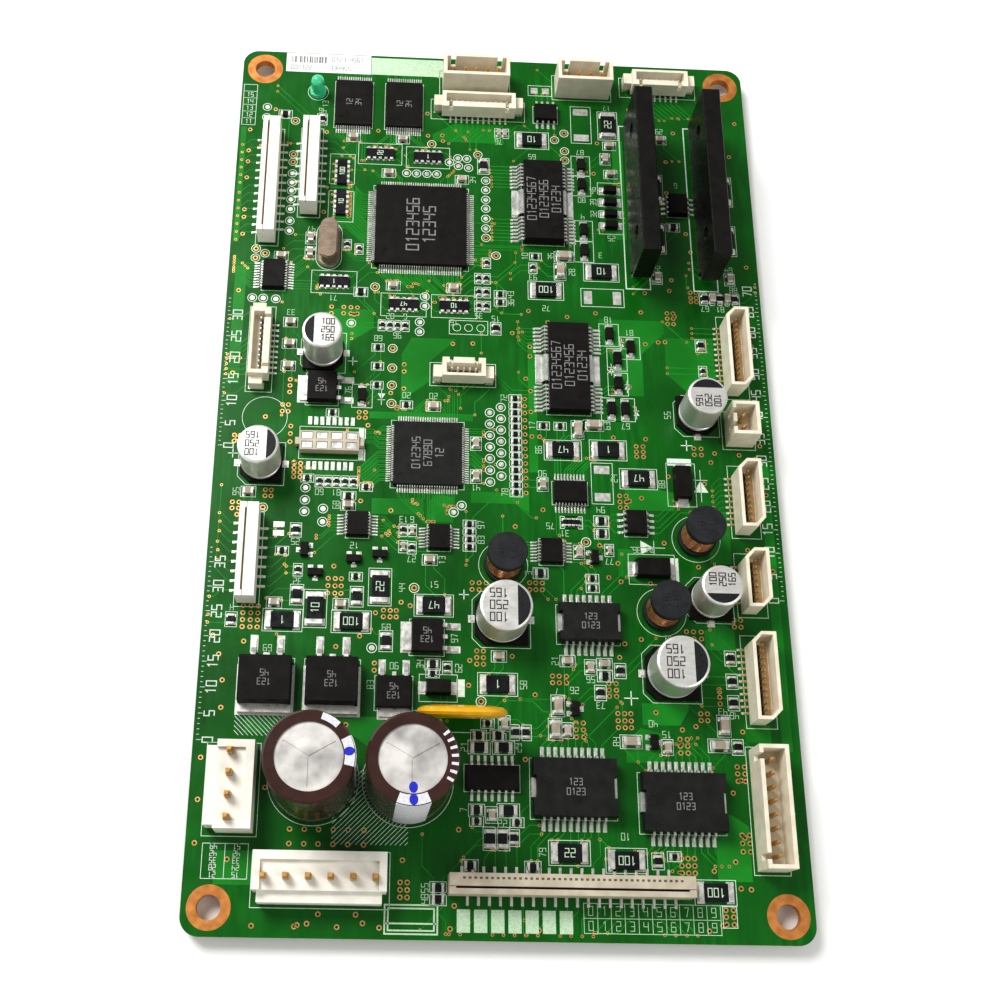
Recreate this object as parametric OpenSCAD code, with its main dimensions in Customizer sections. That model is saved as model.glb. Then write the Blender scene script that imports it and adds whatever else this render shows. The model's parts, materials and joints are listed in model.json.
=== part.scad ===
// Servo driver board: one circuit board with its power stage, logic and connectors.
// +X runs across the board, +Y along it, +Z out of the component side.
// The origin is under the middle of the board, at the tips of the longest pin tails.

/* [Board] */
// Width of the board, along X
board_w = 115; // [115:0.5:118]
// Length of the board, along Y
board_l = 194; // [194:0.5:197]
// Thickness of the board
board_t = 1.6; // [1.2:0.2:2.4]
// Radius of the board's corners
corner_r = 3.5; // [1:0.5:4]
// Diameter of each mounting hole
hole_d = 4.5; // [3.2:0.1:5]
// Distance from a mounting hole's centre to the two nearest edges
hole_inset = 5; // [5:0.25:6]
// Diameter of the copper ring round each mounting hole
ring_d = 8; // [7:0.1:9]
// Thickness of the plating that stands on the board
plating_t = 0.05; // [0.03:0.01:0.1]
// How far the header pins reach below the board
tail = 2; // [1.4:0.1:2.4]

/* [Capacitors] */
// Diameter of each bulk capacitor over its sleeve
bulk_d = 16; // [15:0.5:16]
// Height of each bulk capacitor
bulk_h = 24; // [18:1:28]
// Thickness of the shrink sleeve
sleeve_t = 0.3; // [0.2:0.1:0.4]
// Height of the surface-mounted electrolytics
reservoir_h = 10.2; // [8:0.1:11]

/* [Coils and modules] */
// Diameter of each drum core
drum_d = 7.8; // [7.4:0.1:8.6]
// Height of each drum core
drum_h = 9; // [8:0.5:11]
// Height of the upright driver modules
module_h = 15; // [12:0.5:18]
// Length of the upright driver modules
module_l = 41; // [38:0.5:41]
// Thickness of the upright driver modules
module_t = 3.9; // [3.5:0.1:4.2]

/* [Connectors] */
// Height of the flat-cable connectors
cable_h = 5.6; // [5:0.1:6]
// Width of the flat-cable connectors
cable_w = 3.7; // [3.6:0.05:3.8]
// Clearance round a sliding cable lock
lock_gap = 0.1; // [0.08:0.01:0.12]
// Height of the fine-pitch wire sockets on the right edge
socket_h = 6; // [5:0.5:7]
// Height of the wire headers with a 2.5 mm pitch
header_h = 7; // [6:0.5:8]
// Height of the rim on the power headers
power_wall_h = 7; // [6.6:0.2:8]

/* [Hidden] */
$fn = 48;

// The component side of the board
deck = tail + board_t;
// Tails of everything but the header pins stop short of the pin tips
short_tail = 0.5;
hole_x = board_w / 2 - hole_inset;
hole_y = board_l / 2 - hole_inset;

// ---------------------------------------------------------------- placements
// Every place is [x, y, turn]: millimetres from the middle of the board, then degrees.

bulk_places = [[-34.8, -68.9], [-17.2, -68.9]];
// Electrolytics on plastic bases: [x, y, turn, diameter]; the plus side is local -X
reservoir_places = [[-36.4, 19.8, 180, 8.2], [-47.9, -5.8, 0, 8.2], [41.7, 7.8, 90, 8.2],
    [41.9, -32.3, -90, 8.2], [33.5, -47.4, 0, 10.2], [0.5, -37.3, 0, 10.2]];
inductor_places = [[40, -19.5], [32.2, -35], [1, -26.1]];
processor_place = [-16.4, 51.1, 0];
gate_array_place = [-14.3, -2.8, 0];
memory_places = [[-32, 83, 90], [-20.6, 83, 90]];
stepper_places = [[10.5, 58.2, 0], [15, 17.5, 0]];
// Chips with a heat slug through both ends: [x, y, turn, leads a side, length, width]
motor_places = [[13.7, -69.8, 90, 10, 15.8, 10.8], [34, -72.1, 90, 10, 15.8, 10.8],
    [17.5, -38, 90, 8, 12, 7.5]];
module_places = [[31, 58.9], [45.8, 58.9]];
module_leads_n = 21;
module_pitch = 1.8;
// Power transistors: [x, y, turn]; the tab is on local -X
small_power_places = [[-36.3, 11.2, 0], [-14, -41.3, 0], [-20.2, -52.4, 90]];
large_power_places = [[-44.6, -50.8, 90], [-32, -50.8, 90]];
// Small chips: [x, y, turn, leads a side, pitch, body width, body length, lead span]
chip_places = [[11.6, 82.3, 90, 4, 1.27, 4.2, 5.1, 6.6], [27.9, -16.6, 0, 4, 1.27, 4.2, 5.1, 6.6],
    [40.6, 59, 0, 4, 1.27, 4.2, 5.1, 6.4], [-1.5, -68.1, 90, 7, 1.27, 4.6, 10, 7.6],
    [-47.7, 37.8, 0, 10, 0.65, 4.6, 6.8, 7.6], [14.7, -10.4, 90, 10, 0.65, 4.6, 6.8, 7.6],
    [10.6, -23.1, 0, 7, 0.65, 4.4, 5.1, 7.4], [-28.1, -18.5, 0, 7, 0.65, 4.2, 5.1, 7.2],
    [-11.8, -20.8, 0, 7, 0.65, 4.2, 5.1, 7.2]];
crystal_place = [-36.2, 45.8, 0];
led_place = [-40.2, 86.2, 0];
disc_place = [-7.8, -56, 0];
power_resistor_places = [[8.4, 75.2, 0], [25.8, 80, 90], [10.8, 36.5, 0], [23, 41.5, 0],
    [13.5, -0.9, 0], [22.9, -0.6, 0], [28.9, -6.8, 0], [-42, -38.5, 0], [-28.7, -38.5, 0],
    [-35.8, -36, 90], [-23.3, -31.3, 90], [-12.7, -34.8, 0], [-0.3, -50.2, 0],
    [12.7, -81.4, 0], [23.2, -82.6, 0], [39.3, -88, 0],
    [51, 63.4, 90], [51, 50.6, 90], [35.4, 63.4, 90], [35.4, 50.6, 90]];
array_places = [[-34, 64.7, 90], [-34, 56.8, 90], [-25.7, 70, 0], [-15, 69.5, 0],
    [-34.8, 36.8, 0], [-19.8, 31.8, 0], [-9, 31.8, 0]];
// Chip parts: [x, y, turn, size]; size 0 is 1.6 x 0.8, 1 is 2 x 1.25, 2 is 3.2 x 1.6
chip_sizes = [[1.6, 0.8], [2, 1.25], [3.2, 1.6]];
resistor_places = [
    [-47.3, 79.7, 0, 1], [-39, 78.7, 90, 1], [-2.6, 67.8, 90, 2], [-32.3, 46.2, 90, 0],
    [-29.7, 45.2, 90, 0], [-29, 34.6, 0, 1], [-34, 6, 0, 0], [-2, 42.8, 90, 0],
    [-0.1, 26.8, 90, 1], [0.9, 35.2, 0, 0], [0.9, 33.2, 0, 0], [8.7, 44.9, 0, 0],
    [8.1, 42, 90, 0], [9.6, 4.5, 0, 0], [13.1, 4.5, 0, 0], [43.7, 24.3, 90, 1],
    [43.8, 18.2, 90, 0], [45.3, 35.8, 90, 1], [48.6, 35.8, 90, 1], [51.8, 35.8, 90, 1],
    [-18.8, 8.3, 0, 0], [-38.5, -8.7, 0, 0], [-26.6, -10.3, 0, 0], [-30.1, -12.5, 0, 1],
    [-40.3, -19.9, 90, 1], [-42.8, -24.3, 0, 0], [-39.5, -28.2, 90, 0], [-39.5, -33.3, 90, 2],
    [-27.8, -33.4, 90, 2], [-28.1, -29.3, 0, 0], [-21.9, -42.2, 90, 2], [-12.8, -46.6, 0, 1],
    [-12.8, -48.3, 0, 0], [-10, -47.2, 90, 0], [8.4, -27.6, 0, 1], [18.7, -28.4, 0, 0],
    [18.7, -30.4, 0, 0], [20.9, -16.2, 0, 1], [20.9, -18.9, 0, 1], [45.2, -44, 90, 1],
    [45.2, -48.6, 90, 1], [45.2, -52.8, 90, 1], [45.4, -61.3, 90, 1], [32.1, -81.7, 0, 0],
    [29, -82.6, 90, 1], [20.5, -48.1, 0, 1], [23.5, -47, 90, 1], [19.5, -51.4, 90, 1],
    [-2.3, -57.8, 0, 0], [-4, -60.2, 0, 1], [-0.3, -60.1, 0, 1], [-3.9, -62.3, 0, 2],
    [0.7, -62.3, 0, 2], [3.1, -59.4, 90, 1], [4.9, -59.4, 90, 1], [-4.4, -74, 0, 1],
    [-4.4, -76, 0, 0], [1.5, -74, 0, 2], [3.1, -76.1, 0, 0], [-1.9, -79.1, 90, 2],
    [0.4, -79.1, 90, 2], [2.4, -78.9, 90, 1], [-5.6, -84, 0, 1], [5.9, -84.1, 0, 1],
    [-11.4, -88, 0, 1], [-11.4, -89.9, 0, 1], [-18.9, -19.3, 90, 0], [-17.2, -23, 90, 0],
    [-51.9, -38.6, 90, 1], [39.4, 53.6, 0, 1]];
capacitor_places = [
    [-31.8, 74.2, 0, 1], [-20.7, 74.1, 0, 1], [-23.7, 65, 0, 1], [-7.4, 64, 0, 1],
    [0.9, 76.8, 90, 0], [2.3, 76.8, 90, 0], [26, 74.5, 0, 1], [24.9, 70.9, 90, 1],
    [26, 66.9, 0, 1], [-40.2, 47.5, 90, 1], [-40.2, 43.8, 90, 1], [-46.4, 42.8, 0, 1],
    [-22.1, 36.4, 0, 1], [-9.1, 36.3, 0, 1], [14.9, 45.1, 0, 2], [14, 41.3, 90, 2],
    [35.2, 40.6, 90, 1], [51.1, 40.8, 90, 1], [47, 35.8, 90, 1], [50.2, 35.8, 90, 1],
    [-43.6, 26.7, 0, 1], [-43.6, 21.6, 0, 1], [-43.6, 16.4, 0, 1], [-13.2, 8.1, 0, 1],
    [16.7, 3.8, 90, 2], [20.1, 4.9, 0, 2], [-4.4, 0, 90, 1], [-4.4, -7.3, 90, 1],
    [9.2, -8.6, 90, 1], [-50.2, -12, 0, 1], [-30.1, -14.3, 0, 1], [-43.8, -35, 0, 1],
    [-30.9, -35, 0, 1], [-13.6, -25.4, 0, 1], [16.2, -23, 90, 1], [22.3, -22.4, 90, 0],
    [0, -44.7, 0, 1], [13.3, -45.3, 0, 1], [17.7, -46.4, 90, 1], [20.5, -45.7, 0, 1],
    [11.2, -54.1, 90, 2], [10.6, -58.6, 90, 2], [12.9, -58.8, 90, 1], [25, -60.7, 0, 2],
    [31.9, -61.6, 90, 1], [43, -57.3, 90, 2], [41.8, -61.1, 0, 2], [0.9, -57.7, 90, 1],
    [-1.6, -74.8, 90, 1], [-18.9, -22.8, 90, 0], [-17.2, -19.3, 90, 0], [37.6, 76.6, 0, 1]];
// Rows of equal chip resistors: [first x, first y, step x, step y, count, turn, size]
resistor_rows = [[3.8, 10.5, 0, -1.62, 14, 0, 0], [-3.7, 38.9, 0, -3.4, 3, 90, 0],
    [-2.1, 38.9, 0, -3.4, 3, 90, 0], [-24.2, 26.7, 1.6, 0, 4, 90, 0],
    [-25, 21.4, 0, -4.4, 3, 0, 0], [-36, -9.3, 1.7, 0, 5, 90, 0],
    [-5.7, -17.7, 0, -1.6, 4, 0, 0], [13.5, -16.7, 0.9, 0, 4, 90, 0]];
all_resistors = concat(resistor_places,
    [for (r = resistor_rows, i = [0:r[4] - 1]) [r[0] + i * r[2], r[1] + i * r[3], r[5], r[6]]]);
// Small diodes: [x, y, turn]
small_diode_places = [[25.6, 62.5, 0], [25.6, 59.4, 0], [25.6, 56.3, 0], [25.6, 53.4, 0],
    [19.3, 68.8, 90], [19.3, 63.6, 90], [19.4, 51.8, 90], [19.4, 46.6, 90],
    [24.1, 26.2, 90], [28.5, 23.2, 90], [25.6, 20.4, 90], [25.6, 14.6, 90],
    [23.9, 8.7, 90], [26.8, 8.7, 90], [-28, 10, 90]];
// Power diodes: [x, y, turn, length, width]
power_diode_places = [[37.7, -7.8, 90, 7, 3.4], [30.7, -26.2, 0, 6.8, 3.8], [-11.7, -51.2, 0, 4.8, 2.8]];
sot_places = [[-38.4, -24, 180], [-36.1, -28.7, -90], [-28.6, -25.7, -90], [-23.5, -24.6, -90],
    [14.5, -54.6, 0], [29.4, -60.7, 0], [19.3, -24, 0]];
filter_place = [-34.3, -1.1, 0];
filter_l = 12;
filter_w = 4.2;
filter_cells = 4;

// Wire headers, 2.5 mm pitch: [x, y, turn, pins]
signal_places = [[-4.5, 90.1, 0, 5], [20.1, 90.1, 0, 4], [50.3, 4.7, 90, 2], [50.2, -73, 90, 8]];
signal_pitch = 2.5;
signal_d = 5.6;
// Power headers, 3.96 mm pitch: [x, y, turn, pins]
power_header_places = [[-32.7, -86.9, 0, 6], [-49.7, -71, -90, 4]];
power_pitch = 3.96;
power_header_d = 8.8;
pin_w = 0.64;
power_pin_w = 1.1;
// Fine-pitch wire sockets on the right edge: [x, y, turn, contacts]; the leads are on local -X
edge_socket_places = [[50.4, 21.7, 0, 12], [50.4, -11.2, 0, 9], [50.4, -29, 0, 7], [50.4, -48.5, 0, 11]];
edge_socket_w = 4.8;
// Low wire sockets with side wings: [x, y, turn, contacts]; the leads are on local -X
low_socket_places = [[-3.8, 82.8, 90, 11], [37.7, 90.9, 90, 8], [-7.1, 15.6, -90, 5],
    [-49.5, 20.2, 180, 10]];
low_socket_h = 4.1;
low_socket_w = 4.2;
socket_pitch = 1.25;
// Flat-cable connectors: [x, y, turn, contacts]
cable_left = [-49.7, 60.4, 0, 25];
cable_upper = [-41, 64.4, 0, 18];
cable_lower = [-49.2, -25.8, 0, 15];
cable_wide = [12.4, -87.5, 90, 40];
narrow_cable_places = [cable_left, cable_upper, cable_lower];
cable_places = concat(narrow_cable_places, [cable_wide]);
cable_pitch = 1;

// Every pin through the board, as [x, y]
function turned(p, d) = [p[0] + d[0] * cos(p[2]) - d[1] * sin(p[2]),
    p[1] + d[0] * sin(p[2]) + d[1] * cos(p[2])];
function spread(n, pitch) = [for (i = [0:n - 1]) (i - (n - 1) / 2) * pitch];
signal_pins = [for (p = signal_places, s = spread(p[3], signal_pitch)) turned(p, [s, 0])];
power_pins = [for (p = power_header_places, s = spread(p[3], power_pitch)) turned(p, [s, 0])];
bulk_legs = [for (p = bulk_places, s = [-3.75, 3.75]) [p[0] + s, p[1]]];
led_legs = [for (s = [-1.27, 1.27]) [led_place[0] + s, led_place[1]]];
disc_legs = [for (s = [-3.75, 3.75]) [disc_place[0] + s, disc_place[1]]];
crystal_legs = [for (s = [-2.44, 2.44]) [crystal_place[0], crystal_place[1] + s]];
// A module's leads bend to two staggered rows
function module_side(i) = i % 2 == 0 ? -1.1 : 1.1;
function module_step(i) = (i - (module_leads_n - 1) / 2) * module_pitch;
module_pins = [for (p = module_places, i = [0:module_leads_n - 1])
    [p[0] + module_side(i), p[1] + module_step(i)]];
signal_hole_r = 0.5;
power_hole_r = 0.85;
leg_r = 0.3;
leg_hole_r = 0.4;

// ---------------------------------------------------------------- shared shapes

module on_board(p) {
    translate([p[0], p[1], deck]) rotate(p[2]) children();
}

module block(w, l, h) {
    translate([-w / 2, -l / 2, 0]) cube([w, l, h]);
}

// A gull-wing lead: leaves a body at x = 0 and height rise, and ends as a foot on the board
module gull_lead(reach, rise, t, w) {
    knee = reach * 0.22;
    heel = reach * 0.5;
    translate([0, w / 2, 0]) rotate([90, 0, 0]) linear_extrude(w) polygon([
        [0, rise - t / 2], [0, rise + t / 2], [knee + t / 2, rise + t / 2],
        [heel + t / 2, t], [reach, t], [reach, 0], [heel - t / 2, 0], [knee - t / 2, rise - t / 2]]);
}

// Copies its children in a row along Y
module lead_row(n, pitch) {
    for (s = spread(n, pitch)) translate([0, s, 0]) children();
}

// Copies a row of leads on both sides of a body of the given width
module two_sides(width, n, pitch) {
    for (a = [0, 180]) rotate(a) translate([width / 2, 0, 0]) lead_row(n, pitch) children();
}

// Cross-section of a moulded body with drafted sides and an upright band where the leads leave
module moulded_profile(width, z0, h, draft, band_z, band) {
    half = width / 2;
    polygon([[-half + draft, z0], [half - draft, z0], [half, band_z - band / 2],
        [half, band_z + band / 2], [half - draft, h], [-half + draft, h],
        [-half, band_z + band / 2], [-half, band_z - band / 2]]);
}

module moulded_body(w, l, z0, h, band_z, band, draft = 0.12) {
    intersection() {
        translate([0, l / 2, 0]) rotate([90, 0, 0]) linear_extrude(l)
            moulded_profile(w, z0, h, draft, band_z, band);
        translate([-w / 2, 0, 0]) rotate([90, 0, 90]) linear_extrude(w)
            moulded_profile(l, z0, h, draft, band_z, band);
    }
}

// A moulded body with a round index mark in its top
module marked_body(w, l, z0, h, band_z, band, mark_x, mark_y, mark_r) {
    difference() {
        moulded_body(w, l, z0, h, band_z, band);
        translate([mark_x, mark_y, h - 0.08]) cylinder(r = mark_r, h = 1);
    }
}

module ring(outer, inner, h) {
    rotate_extrude() translate([inner, 0]) square([outer - inner, h]);
}

// ---------------------------------------------------------------- board

module board_outline() {
    x = board_w / 2 - corner_r;
    y = board_l / 2 - corner_r;
    square([board_w, 2 * y], center = true);
    square([2 * x, board_l], center = true);
    for (i = [-1, 1], j = [-1, 1]) translate([i * x, j * y]) circle(corner_r);
}

module drill(places, r) {
    for (p = places) translate([p[0], p[1]]) circle(r);
}

module circuit_board() {
    color("forestgreen") translate([0, 0, tail]) linear_extrude(board_t) difference() {
        board_outline();
        for (i = [-1, 1], j = [-1, 1]) translate([i * hole_x, j * hole_y]) circle(d = hole_d);
        drill(signal_pins, signal_hole_r);
        drill(power_pins, power_hole_r);
        drill(concat(bulk_legs, led_legs, disc_legs, crystal_legs, module_pins), leg_hole_r);
    }
}

module mounting_pads() {
    color("peru") for (i = [-1, 1], j = [-1, 1], z = [tail - plating_t, deck])
        translate([i * hole_x, j * hole_y, z]) ring(ring_d / 2, hole_d / 2, plating_t);
}

// A solder cone round a pin, under the board
module solder_cone(inner, outer, depth) {
    rotate_extrude() polygon([[inner, 0], [outer, 0], [inner + 0.12, -depth], [inner, -depth]]);
}

module solder_joints() {
    color("silver") translate([0, 0, tail]) {
        for (p = signal_pins) translate(p) solder_cone(0.46, 0.95, 1.1);
        for (p = power_pins) translate(p) solder_cone(0.79, 1.5, 1.3);
        for (p = concat(bulk_legs, led_legs, disc_legs, crystal_legs)) translate(p)
            solder_cone(leg_r, 0.85, 1);
        for (p = module_pins) translate(p) solder_cone(0.37, 0.65, 0.9);
    }
}

module label_sticker() {
    color("white") on_board([-38.1, 94.2, 0]) block(19.4, 5.2, 0.1);
}

// ---------------------------------------------------------------- bulk capacitors

module bulk_capacitor_cans() {
    can_r = bulk_d / 2 - sleeve_t;
    seal_h = 2.2;
    color("gainsboro") for (p = bulk_places) translate([p[0], p[1], deck]) difference() {
        translate([0, 0, 0.4]) cylinder(r = can_r, h = bulk_h - 0.4 - sleeve_t);
        translate([0, 0, 0.4]) cylinder(r = can_r - 0.5, h = seal_h);
        // rolled groove that grips the seal
        translate([0, 0, 3]) rotate_extrude() translate([can_r, 0]) circle(0.35);
        // vent lines scored in the top
        for (a = [30, 150, 270]) rotate(a) translate([0, -0.15, bulk_h - sleeve_t - 0.15])
            cube([5.2, 0.3, 1]);
    }
}

module bulk_capacitor_sleeves() {
    lip = 2.1;
    color("saddlebrown") for (p = bulk_places) translate([p[0], p[1], deck]) {
        rotate_extrude() polygon([[bulk_d / 2 - sleeve_t, 0.5], [bulk_d / 2, 0.5],
            [bulk_d / 2, bulk_h - 0.4], [bulk_d / 2 - 0.4, bulk_h],
            [bulk_d / 2 - lip, bulk_h], [bulk_d / 2 - lip, bulk_h - sleeve_t],
            [bulk_d / 2 - sleeve_t, bulk_h - sleeve_t]]);
    }
}

module bulk_capacitor_seals() {
    color("dimgray") for (p = bulk_places) translate([p[0], p[1], deck]) difference() {
        union() {
            translate([0, 0, 0.4]) cylinder(r = bulk_d / 2 - sleeve_t - 0.5, h = 2.2);
            cylinder(r = bulk_d / 2 - 2.5, h = 0.4);
        }
        for (s = [-3.75, 3.75]) translate([s, 0, -1]) cylinder(r = leg_r, h = 5);
    }
}

// ---------------------------------------------------------------- surface-mounted electrolytics

reservoir_base_h = 1.2;

module reservoir_capacitor_cans() {
    color("lightgray") for (p = reservoir_places) on_board(p) {
        r = p[3] / 2;
        z = reservoir_base_h;
        rotate_extrude() polygon([[0, z], [r - 0.5, z], [r - 0.05, z + 0.3], [r, z + 1],
            [r - 0.35, z + 1.3], [r, z + 1.6], [r, reservoir_h - 0.5],
            [r - 0.15, reservoir_h - 0.12], [r - 0.5, reservoir_h], [0, reservoir_h]]);
    }
}

// A square base with two cut corners on the plus side, and a low wall round the can
module reservoir_base(d) {
    half = d / 2 + 0.1;
    cut = 1.9;
    difference() {
        union() {
            linear_extrude(0.9) polygon([[-half + cut, -half], [half, -half], [half, half],
                [-half + cut, half], [-half, half - cut], [-half, -half + cut]]);
            cylinder(r = d / 2 - 0.7, h = reservoir_base_h);
        }
        for (a = [0, 180]) rotate(a) translate([d / 2 - 2, -0.5, -1]) cube([3, 1, 1.25]);
    }
}

module reservoir_capacitor_bases() {
    color("#222222") for (p = reservoir_places) on_board(p) reservoir_base(p[3]);
}

module reservoir_capacitor_terminals() {
    color("silver") for (p = reservoir_places, a = [0, 180]) on_board(p) rotate(a)
        translate([p[3] / 2 - 1.9, -0.45, 0]) cube([2.9, 0.9, 0.22]);
}

// ---------------------------------------------------------------- inductors

flange_h = 1.3;
drum_post_r = 2.2;

module inductor_cores() {
    color("#3a3a3c") for (p = inductor_places) translate([p[0], p[1], deck]) {
        r = drum_d / 2;
        top = drum_h;
        rotate_extrude() polygon([[0, 0.2], [r - 0.2, 0.2], [r, 0.4], [r, flange_h],
            [drum_post_r, flange_h + 0.2], [drum_post_r, top - flange_h - 0.2], [r, top - flange_h],
            [r, top - 0.2], [r - 0.2, top], [0, top]]);
    }
}

module inductor_windings() {
    color("chocolate") for (p = inductor_places) translate([p[0], p[1], deck + flange_h + 0.3])
        ring(drum_d / 2 - 0.4, drum_post_r, drum_h - 2 * flange_h - 0.6);
}

// ---------------------------------------------------------------- logic chips

processor_w = 20;
gate_array_w = 14;

module processor_body() {
    color("#2b2b2b") on_board(processor_place) difference() {
        moulded_body(processor_w, processor_w, 0.1, 1.5, 0.75, 0.2);
        for (m = [[7.4, 7.6], [-7.4, -7.2]]) translate([m[0], m[1], 1.42]) cylinder(r = 0.75, h = 1);
    }
}

module processor_leads() {
    color("silver") on_board(processor_place) for (a = [0, 90]) rotate(a)
        two_sides(processor_w, 36, 0.5) gull_lead(1.3, 0.75, 0.14, 0.22);
}

module gate_array_body() {
    color("#2b2b2b") on_board(gate_array_place)
        marked_body(gate_array_w, gate_array_w, 0.1, 1.1, 0.6, 0.18, -5.4, -5.4, 0.7);
}

module gate_array_leads() {
    color("silver") on_board(gate_array_place) for (a = [0, 90]) rotate(a)
        two_sides(gate_array_w, 25, 0.5) gull_lead(1.1, 0.6, 0.14, 0.22);
}

memory_l = 12.2;

module memory_bodies() {
    color("#202020") for (p = memory_places) on_board(p)
        marked_body(memory_l, 8.2, 0.08, 1.1, 0.55, 0.18, -4.4, 2.6, 0.6);
}

module memory_leads() {
    color("silver") for (p = memory_places) on_board(p)
        two_sides(memory_l, 16, 0.5) gull_lead(1.3, 0.55, 0.13, 0.22);
}

// ---------------------------------------------------------------- power chips

stepper_w = 8.8;
stepper_l = 20.4;
stepper_h = 2.5;
stepper_lead_z = 1.2;
stepper_group = 7;
stepper_pitch = 0.9;
stepper_fin_l = 6.2;

module stepper_driver_bodies() {
    color("#242422") for (p = stepper_places) on_board(p)
        marked_body(stepper_w, stepper_l, 0.15, stepper_h, stepper_lead_z, 0.3, 2.6, -8, 0.9);
}

// Seven leads, a wide cooling fin and seven more leads on each long side
module stepper_driver_leads() {
    reach = 2.4;
    group_y = stepper_l / 2 - 0.4 - (stepper_group - 1) * stepper_pitch / 2 - 0.2;
    color("silver") for (p = stepper_places) on_board(p) for (a = [0, 180]) rotate(a)
        translate([stepper_w / 2, 0, 0]) {
            for (s = [-1, 1]) translate([0, s * group_y, 0])
                lead_row(stepper_group, stepper_pitch) gull_lead(reach, stepper_lead_z, 0.24, 0.42);
            gull_lead(reach, stepper_lead_z, 0.24, stepper_fin_l);
        }
}

motor_h = 3.4;
motor_lead_z = 1.5;
slug_w = 3.6;

module motor_driver_bodies() {
    color("#333335") for (p = motor_places) on_board(p) difference() {
        moulded_body(p[5], p[4], 0.9, motor_h, motor_lead_z, 0.6);
        translate([0, 0.75 * p[4] / 2, motor_h - 0.1]) cylinder(r = 0.95, h = 1);
        // the slug runs through the bottom of the body and shows at both ends
        block(p[5] - 3.5, p[4] - 2, 1.15);
        block(slug_w, p[4] + 2, 1.6);
        for (s = [-1, 1]) translate([0, s * p[4] / 2, 0]) block(slug_w + 0.5, 1.4, 6);
    }
}

module motor_driver_slugs() {
    color("silver") for (p = motor_places) on_board(p) {
        difference() {
            union() {
                block(p[5] - 3.5, p[4] - 2, 1.15);
                block(slug_w, p[4] + 0.2, 1.6);
            }
            translate([0, 0, -1]) block(p[5], p[4] + 4, 1.05);
        }
    }
}

module motor_driver_leads() {
    color("silver") for (p = motor_places) on_board(p)
        two_sides(p[5], p[3], 1.27) gull_lead(1.9, motor_lead_z, 0.26, 0.45);
}

// ---------------------------------------------------------------- upright driver modules

module_foot = 1.6;
module_lead_w = 0.52;

module driver_module_bodies() {
    color("#1e1e1c") for (p = module_places) translate([p[0], p[1], deck + module_foot]) difference() {
        h = module_h - module_foot;
        rotate([90, 0, 0]) translate([0, 0, -module_l / 2]) linear_extrude(module_l) polygon([
            [-module_t / 2, 0.2], [-module_t / 2 + 0.2, 0], [module_t / 2 - 0.2, 0],
            [module_t / 2, 0.2], [module_t / 2, h - 0.2], [module_t / 2 - 0.2, h],
            [-module_t / 2 + 0.2, h], [-module_t / 2, h - 0.2]]);
        // round seats for the clamp screws of a heat sink
        for (s = [-13, 13]) translate([-module_t / 2 - 1, s, 8]) rotate([0, 90, 0])
            cylinder(r = 1.6, h = 1.9);
        // cut-away lower corner over the first lead
        translate([-module_t, -module_l / 2 - 1, -1]) cube([2 * module_t, 3, 3.2]);
    }
}

module driver_module_leads() {
    bend_z = deck + 0.6;
    half = module_lead_w / 2;
    color("silver") for (p = module_places, i = [0:module_leads_n - 1])
        translate([p[0] - half, p[1] + module_step(i) - half, 0]) {
            side = module_side(i);
            translate([side, 0, short_tail])
                cube([module_lead_w, module_lead_w, bend_z - short_tail]);
            translate([min(side, 0), 0, bend_z]) cube([abs(side) + module_lead_w, module_lead_w, 0.4]);
            translate([0, 0, bend_z + 0.4]) cube([module_lead_w, module_lead_w, module_foot - 1]);
        }
}

// ---------------------------------------------------------------- power transistors

module transistor_body(l, w, h) {
    moulded_body(l, w, 0.4, h, 1.1, 0.4);
}

module power_transistor_bodies() {
    color("#1c1c1c") {
        for (p = small_power_places) on_board(p) difference() {
            transistor_body(6.1, 6.6, 2.4);
            translate([-3.2, -2.7, 0]) cube([5, 5.4, 0.52]);
        }
        for (p = large_power_places) on_board(p) difference() {
            transistor_body(8.8, 10, 4.4);
            translate([-4.6, -4.4, 0]) cube([7.6, 8.8, 1.3]);
        }
    }
}

module power_transistor_tabs() {
    color("silver") {
        for (p = small_power_places) on_board(p) {
            translate([-3.1 - 1.5, -2.7, 0]) cube([6.4, 5.4, 0.5]);
        }
        for (p = large_power_places) on_board(p) {
            translate([-4.4 - 1.6, -4.4, 0]) cube([9, 8.8, 1.27]);
            translate([-4.4 - 1.6, -5, 0]) cube([1.5, 10, 1.27]);
        }
    }
}

module power_transistor_leads() {
    color("silver") {
        for (p = small_power_places) on_board(p) {
            for (s = [-2.3, 2.3]) translate([3.05, s, 0]) gull_lead(2.9, 1.1, 0.4, 0.8);
            translate([3.05, -0.4, 0.9]) cube([0.9, 0.8, 0.4]);
        }
        for (p = large_power_places) on_board(p) {
            for (s = [-2.54, 2.54]) translate([4.4, s, 0]) gull_lead(4.2, 1.1, 0.4, 0.9);
            translate([4.4, -0.6, 0.9]) cube([1.1, 1.2, 0.4]);
        }
    }
}

// ---------------------------------------------------------------- small chips

small_chip_h = 1.6;
small_chip_lead_z = 0.8;

module small_chip_bodies() {
    color("#262624") for (p = chip_places) on_board(p)
        marked_body(p[5], p[6], 0.12, small_chip_h, small_chip_lead_z, 0.2,
            p[5] / 2 - 0.9, -p[6] / 2 + 0.9, 0.3);
}

module small_chip_leads() {
    color("silver") for (p = chip_places) on_board(p)
        two_sides(p[5], p[3], p[4]) gull_lead((p[7] - p[5]) / 2, small_chip_lead_z, 0.18, p[4] * 0.36);
}

module sot_place_leads() {
    translate([0.8, 0, 0]) gull_lead(0.7, 0.5, 0.15, 0.45);
    rotate(180) for (s = [-0.95, 0.95]) translate([0.8, s, 0]) gull_lead(0.7, 0.5, 0.15, 0.45);
}

module small_transistor_bodies() {
    color("#202020") for (p = sot_places) on_board(p) moulded_body(1.6, 2.9, 0.08, 1.1, 0.5, 0.17);
}

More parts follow.
